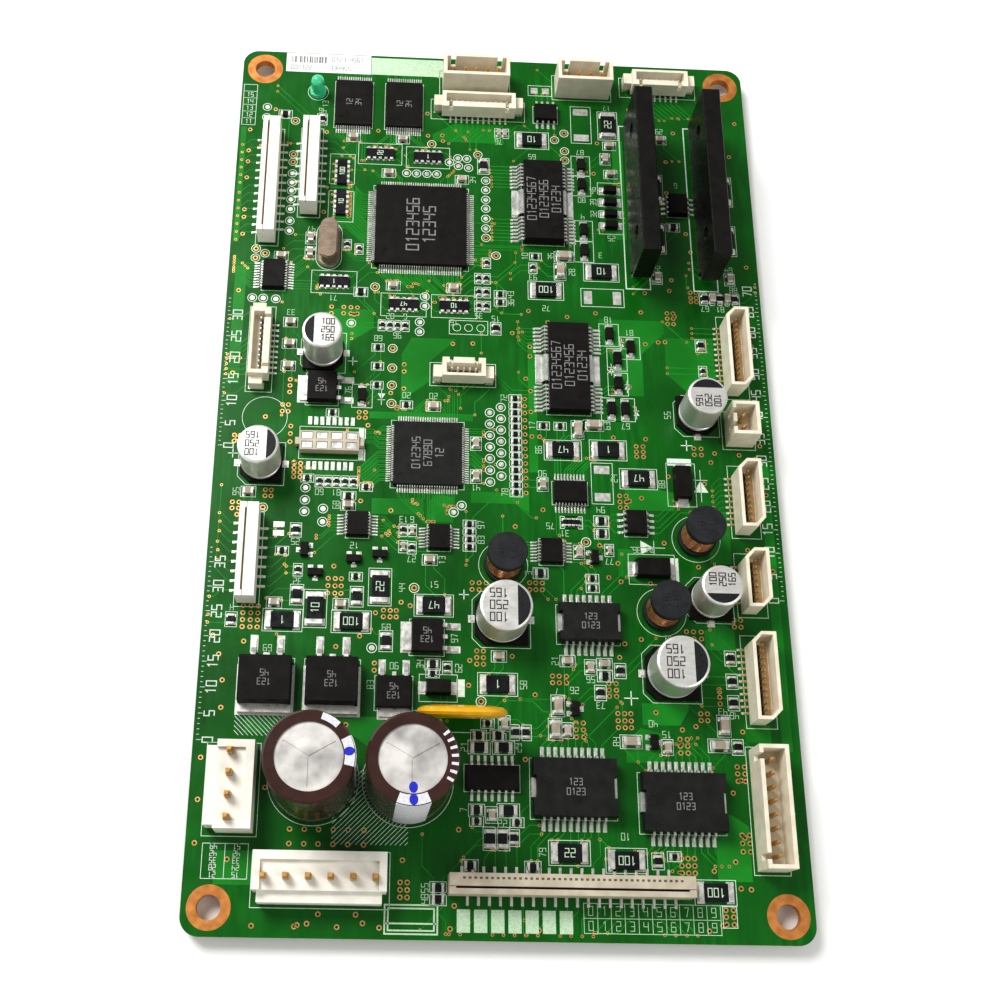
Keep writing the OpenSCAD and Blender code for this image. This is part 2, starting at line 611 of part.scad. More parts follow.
module small_transistor_leads() {
    color("silver") for (p = sot_places) on_board(p) sot_place_leads();
}

// ---------------------------------------------------------------- crystal, lamp and disc

crystal_w = 4.7;
crystal_l = 11;

// An oblong with round ends, its long axis along Y
module oblong(w, l) {
    square([w, l - w], center = true);
    for (s = [-1, 1]) translate([0, s * (l - w) / 2]) circle(d = w);
}

module crystal_can() {
    color("rosybrown") on_board(crystal_place) {
        translate([0, 0, 0.7]) linear_extrude(0.3) oblong(crystal_w, crystal_l);
        translate([0, 0, 1]) linear_extrude(2.3) oblong(crystal_w - 1, crystal_l - 1);
        translate([0, 0, 3.3]) linear_extrude(0.3) oblong(crystal_w - 1.4, crystal_l - 1.4);
    }
}

module crystal_base() {
    color("silver") on_board(crystal_place) difference() {
        linear_extrude(0.7) oblong(crystal_w, crystal_l);
        for (s = [-2.44, 2.44]) translate([0, s, -1]) cylinder(r = leg_r, h = 3);
    }
}

module status_led_lens() {
    color([0.1, 0.75, 0.5, 0.8]) on_board(led_place) difference() {
        union() {
            cylinder(d = 3.8, h = 0.9);
            cylinder(d = 3, h = 3.6);
            translate([0, 0, 3.6]) intersection() {
                sphere(d = 3);
                translate([0, 0, 1]) cube([4, 4, 2], center = true);
            }
        }
        for (s = [-1.27, 1.27]) translate([s, 0, -1]) cylinder(r = leg_r, h = 2.4);
    }
}

disc_d = 16.8;
disc_t = 2.4;
// The disc leans towards the bulk capacitors
disc_lean = 12;
disc_gap = 0.9;
// The disc's legs end where its rim starts
disc_leg_top = 1.6;

module surge_disc() {
    color("orange") on_board(disc_place) translate([0, 0, disc_leg_top]) rotate([disc_lean, 0, 0])
        translate([0, 0, disc_d / 2 + disc_gap - disc_leg_top]) rotate([90, 0, 0])
        rotate_extrude() polygon([[0, -disc_t / 2], [disc_d * 0.32, -disc_t / 2],
            [disc_d * 0.44, -disc_t * 0.38], [disc_d / 2 - 0.3, -disc_t * 0.22],
            [disc_d / 2, 0], [disc_d / 2 - 0.3, disc_t * 0.22],
            [disc_d * 0.44, disc_t * 0.38], [disc_d * 0.32, disc_t / 2], [0, disc_t / 2]]);
}

// A straight round leg from below the board to height top over it
module leg(p, top) {
    translate([p[0], p[1], short_tail]) cylinder(r = leg_r, h = deck + top - short_tail);
}

module through_hole_legs() {
    color("silver") {
        for (p = bulk_legs) leg(p, 2.6);
        for (p = led_legs) leg(p, 1.4);
        for (p = crystal_legs) leg(p, 0.7);
        for (p = disc_legs) leg(p, disc_leg_top);
    }
}

// ---------------------------------------------------------------- resistors and chip parts

power_resistor_l = 6.4;
power_resistor_w = 3.2;
power_cap_l = 0.95;

module power_resistor_bodies() {
    color("#191919") for (p = power_resistor_places) on_board(p)
        translate([0, 0, 0.06]) block(power_resistor_l - 2 * power_cap_l, power_resistor_w, 0.56);
}

module power_resistor_caps() {
    color("gainsboro") for (p = power_resistor_places, a = [0, 180]) on_board(p) rotate(a)
        translate([(power_resistor_l - power_cap_l) / 2, 0, 0])
            block(power_cap_l, power_resistor_w, 0.66);
}

cap_share = 0.2;

module chip_body(p, h) {
    s = chip_sizes[p[3]];
    on_board(p) translate([0, 0, 0.03]) block(s[0] * (1 - 2 * cap_share), s[1] - 0.04, h - 0.06);
}

module chip_caps(p, h) {
    s = chip_sizes[p[3]];
    for (a = [0, 180]) on_board(p) rotate(a)
        translate([s[0] * (1 - cap_share) / 2, 0, 0]) block(s[0] * cap_share, s[1], h);
}

resistor_heights = [0.45, 0.55, 0.6];
capacitor_heights = [0.8, 1, 1.3];

module chip_resistor_bodies() {
    color("#1a1a1a") for (p = all_resistors) chip_body(p, resistor_heights[p[3]]);
}

module chip_capacitor_bodies() {
    color("tan") for (p = capacitor_places) chip_body(p, capacitor_heights[p[3]]);
}

module chip_end_caps() {
    color("gainsboro") {
        for (p = all_resistors) chip_caps(p, resistor_heights[p[3]]);
        for (p = capacitor_places) chip_caps(p, capacitor_heights[p[3]]);
    }
}

array_l = 6.4;
array_w = 2.2;
array_n = 5;

module resistor_array_bodies() {
    color("#1a1a1a") for (p = array_places) on_board(p) block(array_l, array_w, 0.6);
}

module resistor_array_terminals() {
    color("gainsboro") for (p = array_places) on_board(p) rotate(90)
        two_sides(array_w, array_n, 1.27) translate([0.25, 0, 0]) block(0.5, 0.7, 0.6);
}

// ---------------------------------------------------------------- diodes

small_diode = [2.8, 1.7, 1.2];
power_diode_h = 2.3;

// A flat terminal that leaves the end of a body and folds down under it
module folded_terminal(w, rise, reach) {
    translate([0, w / 2, 0]) rotate([90, 0, 0]) linear_extrude(w) polygon([[0, 0], [reach, 0],
        [reach, 0.18], [0.22, 0.18], [0.22, rise], [0, rise]]);
}

module diode_bodies() {
    color("#1b1b1b") {
        for (p = small_diode_places) on_board(p)
            moulded_body(small_diode[0], small_diode[1], 0.05, small_diode[2], 0.5, 0.9, 0.08);
        for (p = power_diode_places) on_board(p)
            moulded_body(p[3], p[4], 0.05, power_diode_h, 0.65, 1.2, 0.15);
    }
}

module diode_terminals() {
    color("silver") {
        for (p = small_diode_places, a = [0, 180]) on_board(p) rotate(a)
            translate([small_diode[0] / 2, 0, 0]) folded_terminal(0.9, 0.7, 0.75);
        for (p = power_diode_places, a = [0, 180]) on_board(p) rotate(a)
            translate([p[3] / 2, 0, 0]) folded_terminal(p[4] * 0.6, 1.1, 1.2);
    }
}

// ---------------------------------------------------------------- filter block

module filter_block_body() {
    cell = filter_l / filter_cells;
    color("burlywood") on_board(filter_place) difference() {
        union() {
            block(filter_l, filter_w, 2);
            block(filter_l + 2, 1.6, 1.5);
        }
        for (s = spread(filter_cells, cell), j = [-1, 1])
            translate([s, j * filter_w / 4, 1.6]) block(cell - 0.7, filter_w / 2 - 0.6, 1);
    }
}

module filter_block_lids() {
    cell = filter_l / filter_cells;
    color("lavenderblush") on_board(filter_place) for (s = spread(filter_cells, cell), j = [-1, 1])
        translate([s, j * filter_w / 4, 1.6]) block(cell - 0.9, filter_w / 2 - 0.8, 0.3);
}

// ---------------------------------------------------------------- wire headers

header_wall = 0.8;
header_floor = 1.6;

// Shroud with two keyways in the back wall and a pin hole for each way
module signal_housing(n) {
    l = (n - 1) * signal_pitch + 4.9;
    difference() {
        block(l, signal_d, header_h);
        translate([0, 0, header_floor]) block(l - 2 * header_wall, signal_d - 2 * header_wall, header_h);
        for (s = [-1, 1]) translate([s * (l / 2 - 2.2), signal_d / 2, 3.2]) block(1.1, 2, header_h);
        for (s = spread(n, signal_pitch)) translate([s, 0, -1]) block(pin_w, pin_w, header_floor + 2);
    }
}

module signal_header_housings() {
    color("ivory") for (p = signal_places) on_board(p) signal_housing(p[3]);
}

// A thick floor inside a low rim at the back and the ends, with a lower ledge in front
module power_housing(n) {
    l = (n - 1) * power_pitch + 4;
    d = power_header_d;
    difference() {
        union() {
            block(l - 1.6, d, power_wall_h - 2);
            translate([0, 1, 0]) block(l, d - 2, power_wall_h - 0.8);
            translate([0, d / 2 - 0.8, 0]) block(l, 1.6, power_wall_h);
            for (s = [-1, 1]) translate([s * (l - 1.4) / 2, 1, 0]) block(1.4, d - 2, power_wall_h);
        }
        for (s = spread(n, power_pitch)) translate([s, 0, -1]) block(power_pin_w, power_pin_w, 9);
    }
}

module power_header_housings() {
    color("ivory") for (p = power_header_places) on_board(p) power_housing(p[3]);
}

// A square pin with a pointed top, from the tail's tip to height top over the board
module pin(p, w, top) {
    translate([p[0], p[1], 0]) {
        block(w, w, deck + top - w);
        for (i = [0, 1]) translate([0, 0, deck + top - w + i * w / 2])
            block(w * (0.8 - 0.25 * i), w * (0.8 - 0.25 * i), w / 2);
    }
}

module header_pins() {
    color("gold") {
        for (p = signal_pins) pin(p, pin_w, header_h - 1.2);
        for (p = power_pins) pin(p, power_pin_w, power_wall_h + 2.2);
    }
}

// ---------------------------------------------------------------- fine-pitch wire sockets

// Open-topped socket with two cut corners; the contacts stand in a slot through its floor
module edge_socket(n) {
    l = (n - 1) * socket_pitch + 4.6;
    w = edge_socket_w;
    cut = 1.9;
    wall = 0.7;
    difference() {
        translate([0, 0, 0.35]) linear_extrude(socket_h - 0.35) polygon([[-w / 2, -l / 2],
            [w / 2 - cut, -l / 2], [w / 2, -l / 2 + cut], [w / 2, l / 2], [-w / 2 + cut, l / 2],
            [-w / 2, l / 2 - cut]]);
        translate([0, 0, 1.8]) linear_extrude(socket_h) polygon([[-w / 2 + wall, -l / 2 + wall],
            [w / 2 - cut - 0.1, -l / 2 + wall], [w / 2 - wall, -l / 2 + cut + 0.3],
            [w / 2 - wall, l / 2 - wall], [-w / 2 + cut + 0.1, l / 2 - wall],
            [-w / 2 + wall, l / 2 - cut - 0.3]]);
        translate([-0.1, 0, -1]) block(0.6, l - 3.4, 6);
    }
}

// Lower socket with a wing for a solder tab at each end
module low_socket(n) {
    l = (n - 1) * socket_pitch + 4;
    w = low_socket_w;
    difference() {
        union() {
            translate([0, 0, 0.35]) block(w, l, low_socket_h - 0.35);
            translate([0.5, 0, 0.35]) block(w - 1.4, l + 3.6, 2.4);
        }
        translate([0.35, 0, 1.6]) block(w - 2, l - 1.8, 6);
        for (s = [-1, 1]) translate([-w / 2 + 0.4, s * (l / 2 - 1.9), 2.4]) block(2, 0.8, 6);
        translate([-0.1, 0, -1]) block(0.6, l - 2.8, 6);
    }
}

module wire_socket_housings() {
    color("ivory") {
        for (p = edge_socket_places) on_board(p) edge_socket(p[3]);
        for (p = low_socket_places) on_board(p) low_socket(p[3]);
    }
}

// A contact: foot beside the socket, run under its floor and blade that stands in the slot
module socket_contact(w, blade_h) {
    t = 0.22;
    translate([0, 0.16, 0]) rotate([90, 0, 0]) linear_extrude(0.32) polygon([
        [-w / 2 - 0.95, 0], [0.15, 0], [0.15, blade_h], [-0.15, blade_h], [-0.15, t],
        [-w / 2 - 0.95, t]]);
}

module wire_socket_contacts() {
    color("silver") {
        for (p = edge_socket_places) on_board(p)
            lead_row(p[3], socket_pitch) socket_contact(edge_socket_w, 4.6);
        for (p = low_socket_places) on_board(p) {
            lead_row(p[3], socket_pitch) socket_contact(low_socket_w, 3.3);
            for (s = [-1, 1]) translate([0.5, s * ((p[3] - 1) * socket_pitch / 2 + 3), 0])
                block(2.2, 1.4, 0.3);
        }
    }
}

// ---------------------------------------------------------------- flat-cable connectors

cable_wall = 1;
cable_slot = 0.4;
cable_end = 1.2;
// The cable enters beside the fixed wall, and the lock fills the rest of the pocket
cable_slot_x = -cable_w / 2 + cable_wall;
lock_lip = 0.9;
lock_x0 = cable_slot_x + cable_slot;

function cable_l(n) = (n - 1) * cable_pitch + 5.2;

// A tube of walls, lower on the lock's side so that the lock's cap lies flush with the fixed wall
module cable_housing(n) {
    l = cable_l(n);
    rest = cable_h - lock_lip;
    difference() {
        translate([0, 0, 0.35]) block(cable_w, l, cable_h - 0.35);
        // pocket for the cable, the contacts and the lock's tongue
        translate([cable_slot_x, -l / 2 + cable_end, -1])
            cube([cable_w - 2 * cable_wall, l - 2 * cable_end, cable_h + 2]);
        // seat for the lock's cap
        translate([lock_x0 - lock_gap, -l / 2 - 1, rest]) cube([cable_w, l + 2, 2]);
    }
}

module cable_connector_housings() {
    color("ivory") for (p = narrow_cable_places) on_board(p) cable_housing(p[3]);
}

module wide_connector_housing() {
    color("antiquewhite") on_board(cable_wide) cable_housing(cable_wide[3]);
}

// A tongue that squeezes the cable, under a cap that a fingernail lifts
module cable_lock(p) {
    l = cable_l(p[3]);
    rest = cable_h - lock_lip;
    tongue_w = cable_w / 2 - cable_wall - lock_gap - lock_x0;
    on_board(p) {
        translate([lock_x0, -l / 2 + cable_end + lock_gap, 1.2])
            cube([tongue_w, l - 2 * cable_end - 2 * lock_gap, rest - 1.2]);
        translate([lock_x0, -l / 2, rest + lock_gap])
            cube([cable_w / 2 - lock_x0, l, lock_lip - lock_gap]);
        translate([lock_x0, -l / 2 + cable_end + lock_gap, rest])
            cube([tongue_w, l - 2 * cable_end - 2 * lock_gap, lock_gap]);
    }
}

module cable_lock_left() {
    color("floralwhite") cable_lock(cable_left);
}

module cable_lock_upper() {
    color("floralwhite") cable_lock(cable_upper);
}

module cable_lock_lower() {
    color("floralwhite") cable_lock(cable_lower);
}

module cable_lock_wide() {
    color("antiquewhite") cable_lock(cable_wide);
}

// A contact whose foot lies on one side, and whose blade stands by the fixed wall
module cable_contact(side) {
    blade_x = cable_slot_x + 0.03;
    foot = cable_w / 2 + 1.1;
    x0 = side < 0 ? -foot : blade_x;
    x1 = side < 0 ? blade_x + 0.14 : foot;
    translate([0, 0.15, 0]) rotate([90, 0, 0]) linear_extrude(0.3) {
        translate([x0, 0]) square([x1 - x0, 0.2]);
        translate([blade_x, 0]) square([0.14, 3.6]);
    }
}

module cable_connector_contacts() {
    color("silver") for (p = cable_places) on_board(p) for (i = [0:p[3] - 1])
        translate([0, (i - (p[3] - 1) / 2) * cable_pitch, 0]) cable_contact(i % 2 == 0 ? -1 : 1);
}

// ---------------------------------------------------------------- nodes

circuit_board();
mounting_pads();
solder_joints();
label_sticker();
bulk_capacitor_cans();
bulk_capacitor_sleeves();
bulk_capacitor_seals();
reservoir_capacitor_cans();
reservoir_capacitor_bases();
reservoir_capacitor_terminals();
inductor_cores();
inductor_windings();
processor_body();
processor_leads();
gate_array_body();
gate_array_leads();
memory_bodies();
memory_leads();
stepper_driver_bodies();
stepper_driver_leads();
motor_driver_bodies();
motor_driver_slugs();
motor_driver_leads();
driver_module_bodies();
driver_module_leads();
power_transistor_bodies();
power_transistor_tabs();
power_transistor_leads();
small_chip_bodies();
small_chip_leads();
crystal_can();
crystal_base();
status_led_lens();
surge_disc();
through_hole_legs();
power_resistor_bodies();
power_resistor_caps();
chip_resistor_bodies();
chip_capacitor_bodies();
chip_end_caps();
resistor_array_bodies();
resistor_array_terminals();
diode_bodies();
diode_terminals();
small_transistor_bodies();
small_transistor_leads();
filter_block_body();
filter_block_lids();
signal_header_housings();
power_header_housings();
header_pins();
wire_socket_housings();
wire_socket_contacts();
cable_connector_housings();
wide_connector_housing();
cable_connector_contacts();
cable_lock_left();
cable_lock_upper();
cable_lock_lower();
cable_lock_wide();
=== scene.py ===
"""Servo driver board: finishes, printing, tracks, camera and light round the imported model.

Lengths in this file are millimetres in the model's own frame unless a name says otherwise.
+X runs across the board, +Y along it, +Z out of the component side.
"""
import json
import math
import random

import bpy
import numpy as np
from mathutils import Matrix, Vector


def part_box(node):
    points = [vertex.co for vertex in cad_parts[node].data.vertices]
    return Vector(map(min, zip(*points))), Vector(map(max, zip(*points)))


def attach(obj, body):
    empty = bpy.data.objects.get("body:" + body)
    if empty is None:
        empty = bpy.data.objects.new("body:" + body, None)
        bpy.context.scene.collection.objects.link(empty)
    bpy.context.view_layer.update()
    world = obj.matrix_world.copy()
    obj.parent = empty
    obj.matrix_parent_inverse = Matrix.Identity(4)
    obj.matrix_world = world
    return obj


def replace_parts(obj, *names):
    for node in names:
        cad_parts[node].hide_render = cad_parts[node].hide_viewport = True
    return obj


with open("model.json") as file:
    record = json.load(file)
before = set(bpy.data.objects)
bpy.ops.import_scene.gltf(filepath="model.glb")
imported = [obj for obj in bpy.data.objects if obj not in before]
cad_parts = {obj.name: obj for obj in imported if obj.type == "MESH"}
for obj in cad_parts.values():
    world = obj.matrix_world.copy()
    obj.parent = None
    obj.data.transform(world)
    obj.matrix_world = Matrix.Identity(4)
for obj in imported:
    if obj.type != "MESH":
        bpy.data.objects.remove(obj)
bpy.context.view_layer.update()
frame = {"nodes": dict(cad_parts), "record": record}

MM = 0.001
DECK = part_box("circuit_board")[1].z / MM
BOARD_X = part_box("circuit_board")[1].x / MM
BOARD_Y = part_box("circuit_board")[1].y / MM
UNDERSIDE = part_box("circuit_board")[0].z / MM
random.seed(7)

# How far the thin layers reach into the board, so that no gap shows
SUNK = 0.05


def layer(height):
    """Low and high faces of a thin layer on the board."""
    return DECK - SUNK, DECK + height


POUR_LAYER = layer(0.006)
TRACK_LAYER = layer(0.012)
HOLE_LAYER = layer(0.013)
RING_LAYER = layer(0.022)
PAD_LAYER = layer(0.03)
INK_LAYER = layer(0.034)


# ---------------------------------------------------------------- thin shapes

class Slabs:
    """Collects closed prisms and builds them as one mesh."""

    def __init__(self):
        self.points = []
        self.faces = []

    def prism(self, outline, low, high):
        """A prism over a counter-clockwise outline."""
        n = len(outline)
        first = len(self.points)
        for z in (low, high):
            self.points += [(x * MM, y * MM, z * MM) for x, y in outline]
        self.faces.append([first + n - 1 - i for i in range(n)])
        self.faces.append([first + n + i for i in range(n)])
        for i in range(n):
            j = (i + 1) % n
            self.faces.append([first + i, first + j, first + n + j, first + n + i])

    def box(self, x0, y0, x1, y1, low, high):
        self.prism([(x0, y0), (x1, y0), (x1, y1), (x0, y1)], low, high)

    def disc(self, x, y, r, low, high, sides=20):
        self.prism(circle(x, y, r, sides), low, high)

    def band(self, inner, outer, low, high, closed):
        """A strip between two lines of points, either a ring or with two ends."""
        n = len(inner)
        first = len(self.points)
        for z in (low, high):
            for line in (inner, outer):
                self.points += [(x * MM, y * MM, z * MM) for x, y in line]
        low_in, low_out, high_in, high_out = (first + k * n for k in range(4))
        for i in range(n if closed else n - 1):
            j = (i + 1) % n
            self.faces.append([low_in + i, low_in + j, low_out + j, low_out + i])
            self.faces.append([high_in + i, high_out + i, high_out + j, high_in + j])
            self.faces.append([low_out + i, low_out + j, high_out + j, high_out + i])
            self.faces.append([low_in + j, low_in + i, high_in + i, high_in + j])
        if not closed:
            self.faces.append([low_in, low_out, high_out, high_in])
            e = n - 1
            self.faces.append([low_out + e, low_in + e, high_in + e, high_out + e])

    def ring(self, x, y, outer, inner, low, high, sides=24):
        self.band(circle(x, y, inner, sides), circle(x, y, outer, sides), low, high, True)

    def line(self, path, width, low, high, closed=False):
        """A ribbon of the given width along a path, mitred at its corners."""
        left, right = [], []
        n = len(path)
        for i, (x, y) in enumerate(path):
            before = path[i - 1] if i or closed else None
            after = path[(i + 1) % n] if i < n - 1 or closed else None
            d0 = direction(before, (x, y)) if before else direction((x, y), after)
            d1 = direction((x, y), after) if after else d0
            mx, my = -(d0[1] + d1[1]), d0[0] + d1[0]
            size = math.hypot(mx, my) or 1
            mx, my = mx / size, my / size
            reach = width / 2 / max(0.4, mx * -d0[1] + my * d0[0])
            left.append((x + mx * reach, y + my * reach))
            right.append((x - mx * reach, y - my * reach))
        self.band(left, right, low, high, closed)

    def build(self, name, material, slot, body="board"):
        mesh = bpy.data.meshes.new(name)
        mesh.from_pydata(self.points, [], self.faces)
        mesh.validate()
        return add_piece(name, mesh, material, body)


def add_piece(name, mesh, material, body="board"):
    mesh.materials.append(material)
    piece = bpy.data.objects.new(name, mesh)
    bpy.context.scene.collection.objects.link(piece)
    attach(piece, body)
    return piece


def circle(x, y, r, sides, start=0.0, sweep=360.0):
    """Points on a circle, or on an arc of it with both its ends."""
    steps = sides if sweep == 360.0 else sides - 1
    angles = [math.radians(start + sweep * i / steps) for i in range(sides)]
    return [(x + r * math.cos(a), y + r * math.sin(a)) for a in angles]


def direction(a, b):
    dx, dy = b[0] - a[0], b[1] - a[1]
    size = math.hypot(dx, dy) or 1
    return dx / size, dy / size


def rectangle(x0, y0, x1, y1):
    return [(x0, y0), (x1, y0), (x1, y1), (x0, y1)]


def turned(x, y, angle):
    a = math.radians(angle)
    return x * math.cos(a) - y * math.sin(a), x * math.sin(a) + y * math.cos(a)


# Plain stroke numerals on a grid 2 wide and 4 high
STROKES = {
    "0": [[(0, 0), (2, 0), (2, 4), (0, 4)]],
    "1": [[(0.4, 3.2), (1.2, 4), (1.2, 0)]],
    "2": [[(0, 4), (2, 4), (2, 2), (0, 2), (0, 0), (2, 0)]],
    "3": [[(0, 4), (2, 4), (2, 0), (0, 0)], [(0.4, 2), (2, 2)]],
    "4": [[(0, 4), (0, 2), (2, 2)], [(2, 4), (2, 0)]],
    "5": [[(2, 4), (0, 4), (0, 2), (2, 2), (2, 0), (0, 0)]],
    "6": [[(2, 4), (0, 4), (0, 0), (2, 0), (2, 2), (0, 2)]],
    "7": [[(0, 4), (2, 4), (1, 0)]],
    "8": [[(0, 0), (2, 0), (2, 4), (0, 4)], [(0, 2), (2, 2)]],
    "9": [[(0, 0), (2, 0), (2, 4), (0, 4), (0, 2), (2, 2)]],
}
ROUND_NUMERALS = "08"
GAP_SHARE = 0.75


def number_width(text, height):
    return height * (len(text) * GAP_SHARE - 0.25)


def write_number(slabs, text, x, y, height, angle, low, high, stroke):
    """Numerals centred on a point, turned by an angle."""
    step = height * GAP_SHARE
    start = -number_width(text, height) / 2
    for i, numeral in enumerate(text):
        for j, stroke_path in enumerate(STROKES[numeral]):
            path = []
            for u, v in stroke_path:
                dx, dy = turned(start + i * step + u * height / 4, (v - 2) * height / 4, angle)
                path.append((x + dx, y + dy))
            slabs.line(path, stroke, low, high, closed=numeral in ROUND_NUMERALS and j == 0)


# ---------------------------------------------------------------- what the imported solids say

def solids(node):
    """The points, in millimetres, of each separate solid of a CAD node."""
    mesh = frame["nodes"][node].data
    flat = np.empty(len(mesh.vertices) * 3, np.float32)
    mesh.vertices.foreach_get("co", flat)
    points = flat.reshape(-1, 3) / MM
    merged, same = np.unique(np.round(points, 3), axis=0, return_inverse=True)
    same = same.ravel()
    pairs = np.empty(len(mesh.edges) * 2, np.int32)
    mesh.edges.foreach_get("vertices", pairs)
    parent = list(range(len(merged)))

    def root(i):
        while parent[i] != i:
            parent[i] = parent[parent[i]]
            i = parent[i]
        return i

    for a, b in same[pairs].reshape(-1, 2).tolist():
        ra, rb = root(a), root(b)
        if ra != rb:
            parent[rb] = ra
    groups = {}
    for i, point in enumerate(merged):
        groups.setdefault(root(i), []).append(point)
    found = [np.array(g) for g in groups.values()]
    return sorted(found, key=lambda g: (round(float(g[:, 0].mean()), 1), float(g[:, 1].mean())))


def outline_box(points):
    return (float(points[:, 0].min()), float(points[:, 1].min()),
            float(points[:, 0].max()), float(points[:, 1].max()))


def crown(points):
    """Centre of a solid seen from above, and the height of its top."""
    return *centre(outline_box(points)), float(points[:, 2].max())


def radius(points):
    return (points[:, 0].max() - points[:, 0].min()) / 2


def footprints(node):
    """Where each solid of a node touches the board, as (x0, y0, x1, y1)."""
    found = []
    for points in solids(node):
        low = points[(points[:, 2] > DECK - 0.01) & (points[:, 2] < DECK + 0.08)]
        if len(low) > 2:
            found.append(outline_box(low))
    return found


def grown(box, dx, dy=None):
    dy = dx if dy is None else dy
    return box[0] - dx, box[1] - dy, box[2] + dx, box[3] + dy


def lies_along_x(box):
    return box[2] - box[0] > box[3] - box[1]


def centre(box):
    return (box[0] + box[2]) / 2, (box[1] + box[3]) / 2


def parts(*nodes, gap=0.06):
    """Boxes round whole parts: the solids of some nodes, joined where they touch."""
    boxes = [list(outline_box(points)) for node in nodes for points in solids(node)]
    joined = []
    while boxes:
        box = boxes.pop()
        again = True
        while again:
            again = False
            for other in boxes[:]:
                apart = (other[0] > box[2] + gap or other[2] < box[0] - gap
                         or other[1] > box[3] + gap or other[3] < box[1] - gap)
                if not apart:
                    boxes.remove(other)
                    box = [min(box[0], other[0]), min(box[1], other[1]),
                           max(box[2], other[2]), max(box[3], other[3])]
                    again = True
        joined.append(tuple(box))
    return sorted(joined)


# ---------------------------------------------------------------- a map of what is taken

CELL = 0.2
taken = np.zeros((int(2 * BOARD_X / CELL) + 2, int(2 * BOARD_Y / CELL) + 2), bool)


def cell(x, y):
    return int((x + BOARD_X) / CELL), int((y + BOARD_Y) / CELL)


def take(box):
    i0, j0 = cell(box[0], box[1])
    i1, j1 = cell(box[2], box[3])
    taken[max(0, i0):i1 + 1, max(0, j0):j1 + 1] = True


def is_free(box):
    inside = (box[0] > 0.8 - BOARD_X and box[1] > 0.8 - BOARD_Y
              and box[2] < BOARD_X - 0.8 and box[3] < BOARD_Y - 0.8)
    i0, j0 = cell(box[0], box[1])
    i1, j1 = cell(box[2], box[3])
    return inside and not taken[i0:i1 + 1, j0:j1 + 1].any()


# ---------------------------------------------------------------- materials

class Finish:
    """A procedural material: colour, roughness and relief from noise, in metres of the frame."""

    def __init__(self, name, metallic=0.0, coat=0.0, coat_roughness=0.1, gloss=0.25, **sockets):
        self.material = bpy.data.materials.new(name)
        self.material.use_nodes = True
        tree = self.material.node_tree
        self.nodes, self.links = tree.nodes, tree.links
        self.shader = self.nodes["Principled BSDF"]
        self.shader.inputs["Metallic"].default_value = metallic
        self.shader.inputs["Specular IOR Level"].default_value = gloss
        self.shader.inputs["Coat Weight"].default_value = coat
        self.shader.inputs["Coat Roughness"].default_value = coat_roughness
        for socket, value in sockets.items():
            self.shader.inputs[socket.replace("_", " ")].default_value = value
        self.place = self.nodes.new("ShaderNodeTexCoord").outputs["Object"]

    def noise(self, size, detail=3.0, stretch=None):
        """Noise whose blobs are about size millimetres across."""
        node = self.nodes.new("ShaderNodeTexNoise")
        node.inputs["Scale"].default_value = 1 / (size * MM)
        node.inputs["Detail"].default_value = detail
        place = self.place
        if stretch:
            mapping = self.nodes.new("ShaderNodeMapping")
            mapping.inputs["Scale"].default_value = stretch
            self.links.new(place, mapping.inputs["Vector"])
            place = mapping.outputs["Vector"]
        self.links.new(place, node.inputs["Vector"])
        return node.outputs["Fac"]

    def ramp(self, factor, *stops):
        """Colours or greys at places along a factor: (place, value)."""
        node = self.nodes.new("ShaderNodeValToRGB")
        elements = node.color_ramp.elements
        while len(elements) < len(stops):
            elements.new(0.5)
        for element, (at, value) in zip(elements, stops):
            element.position = at
            element.color = (*value, 1) if isinstance(value, tuple) else (value, value, value, 1)
        self.links.new(factor, node.inputs["Fac"])
        return node.outputs["Color"]

    def mix(self, factor, a, b):
        node = self.nodes.new("ShaderNodeMix")
        node.data_type = "RGBA"
        self.links.new(factor, node.inputs["Factor"])
        for socket, value in ((node.inputs[6], a), (node.inputs[7], b)):
            if isinstance(value, tuple):
                socket.default_value = (*value, 1)
            else:
                self.links.new(value, socket)
        return node.outputs[2]

    def colour(self, output):
        self.links.new(output, self.shader.inputs["Base Color"])
        return self

    def shades(self, factor, dark, light, low=0.3, high=0.7):
        """Base colour between two shades, by a factor."""
        return self.colour(self.ramp(factor, (low, dark), (high, light)))

    def roughness(self, low, high, size=1.0):
        grey = self.ramp(self.noise(size), (0.3, low), (0.7, high))
        self.links.new(grey, self.shader.inputs["Roughness"])
        return self

    def relief(self, height, depth, strength=0.6):
        """Bump from a height output; depth is in millimetres."""
        node = self.nodes.new("ShaderNodeBump")
        node.inputs["Strength"].default_value = strength
        node.inputs["Distance"].default_value = depth * MM
        self.links.new(height, node.inputs["Height"])
        self.links.new(node.outputs["Normal"], self.shader.inputs["Normal"])
        return self


def facing_up(finish):
    """1 on faces that look up or down, 0 on the sides."""
    geometry = finish.nodes.new("ShaderNodeNewGeometry")
    split = finish.nodes.new("ShaderNodeSeparateXYZ")
    size = finish.nodes.new("ShaderNodeMath")
    size.operation = "ABSOLUTE"
    above = finish.nodes.new("ShaderNodeMath")
    above.operation = "GREATER_THAN"
    above.inputs[1].default_value = 0.5
    finish.links.new(geometry.outputs["Normal"], split.inputs["Vector"])
    finish.links.new(split.outputs["Z"], size.inputs[0])
    finish.links.new(size.outputs[0], above.inputs[0])
    return above.outputs[0]


def beyond_x(finish, limit):
    """1 where x is over a limit in millimetres, 0 elsewhere."""
    split = finish.nodes.new("ShaderNodeSeparateXYZ")
    above = finish.nodes.new("ShaderNodeMath")
    above.operation = "GREATER_THAN"
    above.inputs[1].default_value = limit * MM
    finish.links.new(finish.place, split.inputs["Vector"])
    finish.links.new(split.outputs["X"], above.inputs[0])
    return above.outputs[0]


